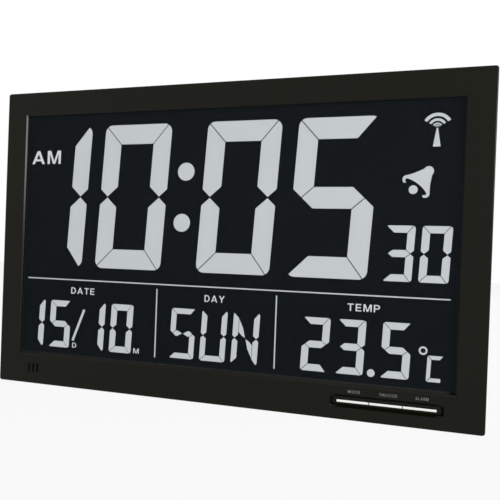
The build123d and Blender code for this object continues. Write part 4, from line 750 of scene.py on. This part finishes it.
@dataclass(frozen=True)
class FlatMark:
    """A word or sign with the box that it fills, in millimetres across and up the clock."""

    name: str
    left: float
    right: float
    foot: float
    top: float

    def shape(self) -> bpy.types.Object:
        """Make the mark as a mesh of any size that lies flat and is as thick as a blank."""
        raise NotImplementedError

    def build(self, depth: float, thickness: float, facing: Facing) -> bpy.types.Object:
        """Make the mark, stand it up and fit it into its box.

        Args:
            depth: the mark's middle along the clock's depth, in millimetres from its centre plane.
            thickness: how thick it is, in millimetres.
            facing: the way that it looks.

        Returns:
            The mark, with its place in its mesh.
        """
        piece = self.shape()
        piece.name = self.name
        piece.data.name = self.name
        wanted = (self.right - self.left, self.top - self.foot, thickness)
        piece.scale = [size * MM / (high - low) for size, low, high in zip(wanted, *reach(piece))]
        work_in(piece)
        piece.location = [-(low + high) / 2 for low, high in zip(*reach(piece))]
        work_in(piece)
        piece.rotation_euler = [math.radians(turn) for turn in facing.value]
        piece.location = ((self.left + self.right) / 2 * MM, depth * MM, (self.foot + self.top) / 2 * MM)
        work_in(piece)
        return piece


@dataclass(frozen=True)
class Capitals:
    """Plain upright capitals of one weight, drawn as outlines one unit high."""

    stem: float = 0.2
    arm_share: float = 0.86
    step_deg: float = 15.0

    @property
    def arm(self) -> float:
        """The thickness of level strokes, a little less than a stem's."""
        return self.arm_share * self.stem

    def bow(self, centre: Pair, radii: Pair, start: float, end: float) -> Outline:
        """Draw part of an ellipse.

        Args:
            centre: its middle.
            radii: its half width and half height.
            start: the first angle, in degrees from the right.
            end: the last angle.

        Returns:
            The points from start to end.
        """
        steps = max(2, round(abs(end - start) / self.step_deg))
        turns = [math.radians(start + (end - start) * i / steps) for i in range(steps + 1)]
        return [(centre[0] + radii[0] * math.cos(a), centre[1] + radii[1] * math.sin(a)) for a in turns]

    def ring(self, centre: Pair, radii: Pair) -> Outline:
        """Draw a whole ellipse, without its first point again at the end."""
        return self.bow(centre, radii, 0, 360 - self.step_deg)

    def stroke(self, path: Outline) -> Outline:
        """Give a bent line the weight of a level stroke.

        Args:
            path: the line's points.

        Returns:
            The outline round it.
        """
        sides: tuple[Outline, Outline] = ([], [])
        for i, (x, z) in enumerate(path):
            before, after = path[max(i - 1, 0)], path[min(i + 1, len(path) - 1)]
            run = math.hypot(after[0] - before[0], after[1] - before[1])
            across = (-(after[1] - before[1]) / run, (after[0] - before[0]) / run)
            for side, half in zip(sides, (self.arm / 2, -self.arm / 2)):
                side.append((x + across[0] * half, z + across[1] * half))
        return sides[0] + sides[1][::-1]

    def bowl(self, foot: float, straight: float, bend: float) -> tuple[Outline, Outline]:
        """Draw the round part of D, P or R that stands on a stem.

        Args:
            foot: how high the bowl starts.
            straight: where its level strokes start to bend.
            bend: how far it bends out from there.

        Returns:
            The outer points, from the foot to the top, and the hole.
        """
        w, q = self.stem, self.arm
        middle, rise = (straight, (1 + foot) / 2), (1 - foot) / 2
        outer = self.bow(middle, (bend, rise), -90, 90)
        inner = self.bow(middle, (bend - w, rise - q), -90, 90)
        return outer, [(w, foot + q), *inner, (w, 1 - q)]

    def letter(self, name: str) -> tuple[float, list[Outline]]:
        """Draw one letter.

        Args:
            name: the letter, one of A, D, E, L, M, N, O, P, R, S, T, Y and Z.

        Returns:
            Its width and its outlines, holes included.
        """
        w, q = self.stem, self.arm
        if name == "A":
            wide, mid, bar, leg = 1.0, 0.5, 0.22, 1.08 * w
            lean, over = mid - 0.56 * w, bar + q
            return wide, [[(0, 0), (leg, 0), (leg + bar * lean, bar), (wide - leg - bar * lean, bar),
                           (wide - leg, 0), (wide, 0), (wide - lean, 1), (lean, 1)],
                          [(leg + over * lean, over), (wide - leg - over * lean, over),
                           (mid, (mid - leg) / lean)]]
        if name == "D":
            outer, hole = self.bowl(0.0, 0.38, 0.46)
            return 0.84, [[(0, 0), *outer, (0, 1)], hole]
        if name == "E":
            wide, tongue, upper = 0.72, 0.67, 0.7
            low, high = 0.5 - q / 2, 0.5 + q / 2
            return wide, [[(0, 0), (wide, 0), (wide, q), (w, q), (w, low), (tongue, low), (tongue, high),
                           (w, high), (w, 1 - q), (upper, 1 - q), (upper, 1), (0, 1)]]
        if name == "L":
            wide = 0.66
            return wide, [[(0, 0), (wide, 0), (wide, q), (w, q), (w, 1), (0, 1)]]
        if name == "M":
            wide, mid, knee, slope = 1.04, 0.52, 0.78, 1.45 * w
            inside = mid - 1.48 * w
            fork = 1 - knee / inside * (mid - slope)
            return wide, [[(0, 0), (w, 0), (w, knee), (w + inside, 0), (wide - w - inside, 0),
                           (wide - w, knee), (wide - w, 0), (wide, 0), (wide, 1), (wide - slope, 1),
                           (mid, fork), (slope, 1), (0, 1)]]
        if name == "N":
            wide, knee, slope = 0.86, 0.68, 1.05 * w
            return wide, [[(0, 0), (w, 0), (w, knee), (wide - slope, 0), (wide, 0), (wide, 1),
                           (wide - w, 1), (wide - w, 1 - knee), (slope, 1), (0, 1)]]
        if name == "O":
            centre, half, rise = (0.48, 0.5), 0.48, 0.515
            return 2 * half, [self.ring(centre, (half, rise)), self.ring(centre, (half - w, rise - q))]
        if name == "P":
            waist = 0.38
            outer, hole = self.bowl(waist, 0.42, 0.34)
            return 0.76, [[(0, 0), (w, 0), (w, waist), *outer, (0, 1)], hole]
        if name == "R":
            wide, waist, hip = 0.82, 0.4, 0.34
            outer, hole = self.bowl(waist, 0.44, 0.34)
            leg = [(hip, waist), (wide - 1.2 * w, 0), (wide, 0), (hip + 1.3 * w, waist + 0.01)]
            return wide, [[(0, 0), (w, 0), (w, waist), *leg, *outer[2:], (0, 1)], hole]
        if name == "S":
            mid, radii = 0.39, (0.39 - w / 2, 0.275 - q / 2)
            path = self.bow((mid, 0.75), radii, 25, 250) + self.bow((mid, 0.25), radii, 70, -155)
            return 2 * mid, [self.stroke(path)]
        if name == "T":
            wide, left, right = 0.8, 0.4 - w / 2, 0.4 + w / 2
            return wide, [[(left, 0), (right, 0), (right, 1 - q), (wide, 1 - q), (wide, 1), (0, 1),
                           (0, 1 - q), (left, 1 - q)]]
        if name == "Y":
            wide, mid, fork, arm = 0.94, 0.47, 0.42, 1.2 * w
            left, right = mid - w / 2, mid + w / 2
            return wide, [[(left, 0), (right, 0), (right, fork), (wide, 1), (wide - arm, 1),
                           (mid, 1 - (1 - fork) / left * (mid - arm)), (arm, 1), (0, 1), (left, fork)]]
        wide, slope, inset = 0.78, 1.35 * w, 0.02
        return wide, [[(0, 0), (wide, 0), (wide, q), (slope, q), (wide, 1 - q), (wide, 1), (inset, 1),
                       (inset, 1 - q), (wide - slope, 1 - q), (0, q)]]


@dataclass(frozen=True)
class Word(FlatMark):
    """A word in plain capitals."""

    letters: str = ""
    style: Capitals = Capitals()
    gap: float = 0.16

    def shape(self) -> bpy.types.Object:
        """Set the letters side by side as a flat curve, thicken it and make it a mesh."""
        curve = bpy.data.curves.new(self.name, "CURVE")
        curve.dimensions = "2D"
        curve.fill_mode = "BOTH"
        curve.extrude = BLANK_THICKNESS / 2
        left = 0.0
        for name in self.letters:
            width, outlines = self.style.letter(name)
            for outline in outlines:
                spline = curve.splines.new("POLY")
                spline.points.add(len(outline) - 1)
                for point, (x, z) in zip(spline.points, outline):
                    point.co = (left + x, z, 0.0, 1.0)
                spline.use_cyclic_u = True
            left += width + self.gap
        piece = bpy.data.objects.new(self.name, curve)
        bpy.context.collection.objects.link(piece)
        select_only(piece)
        bpy.ops.object.convert(target="MESH")
        return bpy.context.active_object


@dataclass(frozen=True)
class Arrow(FlatMark):
    """A three-cornered sign that points up."""

    softness: float = 0.14

    def shape(self) -> bpy.types.Object:
        """Soften the corners of a three-sided disc and thicken it."""
        bpy.ops.object.select_all(action="DESELECT")
        bpy.ops.mesh.primitive_circle_add(vertices=3, radius=1.0, fill_type="NGON")
        piece = open_whole()
        bpy.ops.mesh.bevel(offset=self.softness, segments=3, affect="VERTICES")
        return thickened(piece)


@dataclass(frozen=True)
class PoleSign(FlatMark):
    """The plus or minus of a key, or of the way round that a cell lies."""

    pole: Pole = Pole.PLUS
    weight: float = 1.0

    def shape(self) -> bpy.types.Object:
        """Thin a grid's middle lines, take away the squares that the sign leaves empty, thicken the rest."""
        bpy.ops.object.select_all(action="DESELECT")
        bpy.ops.mesh.primitive_grid_add(x_subdivisions=3, y_subdivisions=3, size=3.0)
        piece = bpy.context.active_object
        for way, thinner in enumerate(((self.weight, 1.0, 1.0), (1.0, self.weight, 1.0))):
            pick_faces(piece, lambda at: round(at[way]) == 0)
            bpy.ops.transform.resize(value=thinner)
            bpy.ops.object.mode_set(mode="OBJECT")
        pick_faces(piece, lambda at: round(at.x) + 1 not in self.pole.value[round(at.y) + 1])
        bpy.ops.mesh.delete(type="FACE")
        return thickened(piece)


@dataclass(frozen=True)
class CellOutline(FlatMark):
    """The rounded outline of a cell that lies along the clock."""

    line: float = 0.5
    corner: float = 2.0

    def shape(self) -> bpy.types.Object:
        """Round a plane's corners, inset it, take the middle out and thicken the rim that is left."""
        bpy.ops.object.select_all(action="DESELECT")
        bpy.ops.mesh.primitive_plane_add(size=1.0)
        piece = open_whole()
        bpy.ops.transform.resize(value=(self.right - self.left, self.top - self.foot, 1.0))
        bpy.ops.mesh.bevel(offset=self.corner, segments=5, affect="VERTICES")
        bpy.ops.mesh.select_all(action="SELECT")
        bpy.ops.mesh.inset(thickness=self.line)
        bpy.ops.mesh.delete(type="FACE")
        return thickened(piece)


class SubAssembly:
    """Pieces of the clock that are made and finished together."""

    def build(self) -> list[bpy.types.Object]:
        """Make the sub-assembly's new pieces."""
        return []

    def dress(self) -> None:
        """Give the sub-assembly's CAD nodes their finishes."""
        raise NotImplementedError

    @staticmethod
    def cover(finish: Finish, *nodes: str) -> None:
        """Dress CAD nodes in a finish.

        Args:
            finish: the finish.
            nodes: the nodes' names.
        """
        for node in nodes:
            finish.dress(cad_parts[node])
            LOG.info("finish %s on %s", finish.name, node)

    @staticmethod
    def settle(piece: bpy.types.Object, body: str, slot: Slot, finish: Finish) -> bpy.types.Object:
        """Finish a new piece and fix it to a body.

        Args:
            piece: the piece.
            body: the body that it rides on.
            slot: the record's slot for it; not used.
            finish: its finish.

        Returns:
            The piece.
        """
        finish.dress(piece)
        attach(piece, body)
        LOG.info("piece %s on %s, %d faces", piece.name, body, len(piece.data.polygons))
        return piece


@dataclass
class CaseShell(SubAssembly):
    """The front bezel, the rear cover and the screws that hold them together."""

    def dress(self) -> None:
        """Dress the two halves and the screws."""
        self.cover(BEZEL_BLACK, "front_bezel")
        self.cover(COVER_BLACK, "rear_cover")
        self.cover(STEEL, "case_screws")


@dataclass
class DisplayStack(SubAssembly):
    """The window, the display cell behind it and the words that are always on in the cell."""

    word_depth: float = -9.7
    word_thickness: float = 0.1
    words: tuple[Word, ...] = (
        Word("am_word", -163.0, -136.3, 174.0, 184.4, "AM", Capitals(0.18), 0.22),
        Word("date_word", -122.4, -101.5, 72.3, 77.2, "DATE", Capitals(0.17), 0.26),
        Word("day_word", -9.3, 6.3, 72.3, 77.2, "DAY", Capitals(0.17), 0.26),
        Word("temp_word", 94.7, 116.3, 72.3, 77.2, "TEMP", Capitals(0.17), 0.26),
        Word("date_letter", -119.8, -116.2, 30.3, 34.1, "D", Capitals(0.16)),
        Word("month_letter", -65.9, -61.3, 30.3, 34.0, "M", Capitals(0.16)),
    )

    def build(self) -> list[bpy.types.Object]:
        """Make the words of the cell."""
        made = [word.build(self.word_depth, self.word_thickness, Facing.FRONT) for word in self.words]
        return [self.settle(piece, "case", Slot.SEGMENT, LABEL_WHITE) for piece in made]

    def dress(self) -> None:
        """Dress the panes, the dark field and the segments."""
        self.cover(CLEAR_WINDOW, "display_window")
        self.cover(DISPLAY_GLASS, "lcd_front_glass")
        self.cover(DISPLAY_BACK, "lcd_rear_glass")
        self.cover(SEGMENT_WHITE, "lcd_time_segments", "lcd_seconds_segments", "lcd_date_segments",
                   "lcd_day_segments", "lcd_temperature_segments", "lcd_icons", "lcd_divider_lines")
        self.cover(BLACK_TAPE, "window_tape")
        self.cover(BLACK_RUBBER, "lcd_gasket", "lcd_cell_seal", "zebra_strip")
        self.cover(WHITE_PLASTIC, "lcd_reflector")
        self.cover(CARRIER_GREY, "lcd_carrier")
        self.cover(STEEL, "carrier_screws")


@dataclass
class KeyRow(SubAssembly):
    """The three front keys, their switches and the names printed above them."""

    name_depth: float = -14.5
    name_thickness: float = 0.04
    names: tuple[Word, ...] = (
        Word("mode_name", 98.0, 106.0, 18.3, 20.2, "MODE", Capitals(0.11), 0.42),
        Word("snooze_name", 118.5, 130.0, 18.3, 20.2, "SNOOZE", Capitals(0.11), 0.42),
        Word("alarm_name", 141.5, 149.5, 18.3, 20.2, "ALARM", Capitals(0.11), 0.38),
    )

    def build(self) -> list[bpy.types.Object]:
        """Make the printed names."""
        made = [name.build(self.name_depth, self.name_thickness, Facing.FRONT) for name in self.names]
        return [self.settle(piece, "case", Slot.SEGMENT, KEY_NAME_INK) for piece in made]

    def dress(self) -> None:
        """Dress the keys and what they press."""
        self.cover(KEY_SILVER, "mode_key", "snooze_key", "alarm_key")
        self.cover(WHITE_PLASTIC, "mode_plunger", "snooze_plunger", "alarm_plunger")
        self.cover(KEY_BLACK, "front_switches")
        self.cover(BOARD_GREEN, "key_board")
        self.cover(STEEL, "key_board_screws")
        self.cover(WHITE_LEAD, "key_ribbon")


@dataclass
class RearControls(SubAssembly):
    """The plus and minus keys of the rear cover with their switches and what they are for."""

    name_depth: float = 14.5
    name_thickness: float = 0.04
    name: Word = Word("set_name", -92.5, -83.5, 49.6, 52.6, "SET", Capitals(0.16), 0.3)
    sign_depth: float = 13.94
    sign_thickness: float = 0.08
    plus_sign: PoleSign = PoleSign("plus_sign", -102.2, -97.8, 37.8, 42.2, Pole.PLUS, 0.5)
    minus_sign: PoleSign = PoleSign("minus_sign", -78.2, -73.8, 39.6, 40.4, Pole.MINUS)

    def build(self) -> list[bpy.types.Object]:
        """Make the printed word above the keys and the ink in the keys' signs."""
        word = self.name.build(self.name_depth, self.name_thickness, Facing.REAR)
        made = [self.settle(word, "case", Slot.SEGMENT, KEY_NAME_INK)]
        for sign, body in ((self.plus_sign, "plus_push"), (self.minus_sign, "minus_push")):
            piece = sign.build(self.sign_depth, self.sign_thickness, Facing.REAR)
            made.append(self.settle(piece, body, Slot.SEGMENT, KEY_NAME_INK))
        return made

    def dress(self) -> None:
        """Dress the keys and what they press."""
        self.cover(KEY_BLACK, "plus_key", "minus_key", "rear_switches")
        self.cover(WHITE_PLASTIC, "plus_plunger", "minus_plunger")


@dataclass
class BatteryBay(SubAssembly):
    """The battery door with its marks, the cells and their contacts."""

    face_depth: float = 14.4
    inside_depth: float = 12.4
    mark_thickness: float = 0.04
    face_marks: tuple[FlatMark, ...] = (
        Word("door_word", 87.5, 102.5, 99.0, 103.0, "OPEN", Capitals(0.16), 0.28),
        Arrow("door_arrow", 92.4, 97.6, 106.2, 110.7),
    )
    inside_marks: tuple[FlatMark, ...] = (
        CellOutline("lower_cell_outline", 70.5, 119.5, 91.3, 103.6),
        CellOutline("upper_cell_outline", 70.5, 119.5, 106.4, 118.7),
        PoleSign("lower_minus_sign", 74.2, 78.2, 96.8, 98.1, Pole.MINUS),
        PoleSign("lower_plus_sign", 111.8, 115.8, 95.4, 99.4, Pole.PLUS),
        PoleSign("upper_plus_sign", 74.2, 78.2, 110.6, 114.6, Pole.PLUS),
        PoleSign("upper_minus_sign", 111.8, 115.8, 111.9, 113.2, Pole.MINUS),
    )

    def build(self) -> list[bpy.types.Object]:
        """Make the marks on the outside of the door and the sketch of the cells inside it."""
        made = [mark.build(self.face_depth, self.mark_thickness, Facing.REAR) for mark in self.face_marks]
        made += [mark.build(self.inside_depth, self.mark_thickness, Facing.FRONT)
                 for mark in self.inside_marks]
        return [self.settle(piece, "door", Slot.SEGMENT, KEY_NAME_INK) for piece in made]

    def dress(self) -> None:
        """Dress the door, the cells, the contacts and the leads."""
        self.cover(COVER_BLACK, "battery_door")
        self.cover(JACKET, "battery_cells")
        self.cover(STEEL, "battery_contact_negative", "battery_contact_positive", "battery_contact_bridge")
        self.cover(BLACK_LEAD, "battery_lead_black")
        self.cover(RED_LEAD, "battery_lead_red")


@dataclass
class Stand(SubAssembly):
    """The fold-out leg with the ribs in its panel, its foot pad and its pin."""

    rib_count: int = 6
    rib_length: float = 36.0
    rib_width: float = 1.8
    rib_pitch: float = 4.2
    rib_foot: float = 23.0
    rib_edge: float = 0.25
    panel_depth: float = 13.5
    rib_rise: float = 0.6
    rib_bite: float = 0.1

    def build(self) -> list[bpy.types.Object]:
        """Make one finger rib and copy it up the panel."""
        first = self._rib()
        ribs = [first]
        for step in range(1, self.rib_count):
            rib = first.copy()
            rib.data = first.data.copy()
            bpy.context.collection.objects.link(rib)
            rib.location = (0.0, 0.0, step * self.rib_pitch * MM)
            work_in(rib)
            ribs.append(rib)
        for number, rib in enumerate(ribs, 1):
            rib.name = rib.data.name = f"leg_rib_{number}"
            self.settle(rib, "stand", Slot.COVER, COVER_BLACK)
        return ribs

    def _rib(self) -> bpy.types.Object:
        """Return the lowest rib: a bar with rounded edges, let into the panel's floor."""
        bpy.ops.object.select_all(action="DESELECT")
        bpy.ops.mesh.primitive_cube_add(size=1.0)
        piece = open_whole()
        height = self.rib_rise + self.rib_bite
        bpy.ops.transform.resize(value=(self.rib_length * MM, height * MM, self.rib_width * MM))
        bpy.ops.mesh.bevel(offset=self.rib_edge * MM, segments=3, affect="EDGES")
        bpy.ops.mesh.select_all(action="SELECT")
        middle = self.panel_depth - self.rib_bite + height / 2
        bpy.ops.transform.translate(value=(0.0, middle * MM, self.rib_foot * MM))
        bpy.ops.object.mode_set(mode="OBJECT")
        return piece

    def dress(self) -> None:
        """Dress the leg, the pad and the pin."""
        self.cover(COVER_BLACK, "stand_leg")
        self.cover(BLACK_RUBBER, "stand_pad")
        self.cover(STEEL, "stand_hinge_pin")


@dataclass
class Electronics(SubAssembly):
    """The boards, the receiver, the sensor and the buzzer inside the case."""

    def dress(self) -> None:
        """Dress the boards, their parts and the leads between them."""
        self.cover(BOARD_GREEN, "main_board", "sensor_board", "receiver_board")
        self.cover(STEEL, "main_board_screws", "crystal")
        self.cover(KEY_BLACK, "driver_chip", "temperature_sensor", "buzzer")
        self.cover(WHITE_PLASTIC, "antenna_holder")
        self.cover(FERRITE, "ferrite_rod")
        self.cover(COPPER, "antenna_coil", "antenna_leads")
        self.cover(WHITE_LEAD, "sensor_leads", "receiver_leads")
        self.cover(BLACK_LEAD, "buzzer_leads")


@dataclass(frozen=True)
class Lamp:
    """A soft lamp, wide and high as its size says, that looks at a point."""

    name: str
    place: Triple
    size: Pair
    power: float
    aim: Triple = (0.0, 0.0, 0.11)

    def build(self) -> None:
        """Hang the lamp and turn it to its point."""
        bpy.ops.object.light_add(type="AREA", location=self.place)
        lamp = bpy.context.active_object
        lamp.name = self.name
        lamp.data.shape = "RECTANGLE"
        lamp.data.size, lamp.data.size_y = self.size
        lamp.data.energy = self.power
        lamp.rotation_euler = (Vector(self.aim) - Vector(self.place)).to_track_quat("-Z", "Y").to_euler()


@dataclass
class Studio:
    """A plain pale floor, a white surround and soft lamps."""

    floor_size: float = 8.0
    floor_drop: float = 0.0003
    surround: float = 0.3
    lamps: tuple[Lamp, ...] = (
        Lamp("right_lamp", (1.1, -1.05, 0.46), (0.8, 0.32), 20.0),
        Lamp("top_lamp", (0.2, -0.1, 1.8), (1.2, 1.2), 2.0),
        Lamp("rear_lamp", (-0.7, 1.7, 0.9), (1.2, 1.2), 12.0),
    )

    def build(self) -> None:
        """Make the floor, the surround and the lamps."""
        bpy.ops.object.select_all(action="DESELECT")
        bpy.ops.mesh.primitive_plane_add(size=self.floor_size, location=(0.0, 0.0, -self.floor_drop))
        floor = bpy.context.active_object
        floor.name = "studio_floor"
        FLOOR_WHITE.dress(floor)
        self._surround()
        for lamp in self.lamps:
            lamp.build()

    def _surround(self) -> None:
        """Make the world white where it is seen and calmer where it lights."""
        world = bpy.data.worlds.new("studio_surround")
        bpy.context.scene.world = world
        world.use_nodes = True
        graph = Graph(world.node_tree)
        light, white = [graph.add("ShaderNodeBackground", None, {"Color": WHITE, "Strength": strength})
                        for strength in (self.surround, 1.0)]
        graph.show(graph.mixed(graph.seen(), light, white), "ShaderNodeOutputWorld")


@dataclass
class PhotoCamera:
    """A camera in front of the clock, to its right and a little below its middle."""

    place: Triple = (0.16942, -0.43250, 0.10503)
    turns: Triple = (89.6775, -2.0993, 18.9561)
    lens: float = 45.527
    sensor_width: float = 36.0
    shift: Pair = (0.00048, 0.02357)
    nearest: float = 0.01

    def build(self) -> None:
        """Set up the camera and make it the scene's."""
        bpy.ops.object.camera_add(location=self.place, rotation=[math.radians(turn) for turn in self.turns])
        camera = bpy.context.active_object
        camera.name = "photo_camera"
        camera.data.sensor_width = self.sensor_width
        camera.data.sensor_fit = "HORIZONTAL"
        camera.data.lens = self.lens
        camera.data.shift_x, camera.data.shift_y = self.shift
        camera.data.clip_start = self.nearest
        bpy.context.scene.camera = camera


def main() -> None:
    """Build the clock's new pieces, dress everything, and set up the studio and the camera."""
    logging.basicConfig(level=logging.INFO, format="%(name)s: %(message)s")
    bpy.context.scene.view_settings.view_transform = "Standard"
    PhotoCamera().build()
    for part in (CaseShell(), DisplayStack(), KeyRow(), RearControls(), BatteryBay(), Stand(), Electronics()):
        made = part.build()
        part.dress()
        LOG.info("%s has %d new pieces", type(part).__name__, len(made))
    Studio().build()


if __name__ == "__main__":
    main()
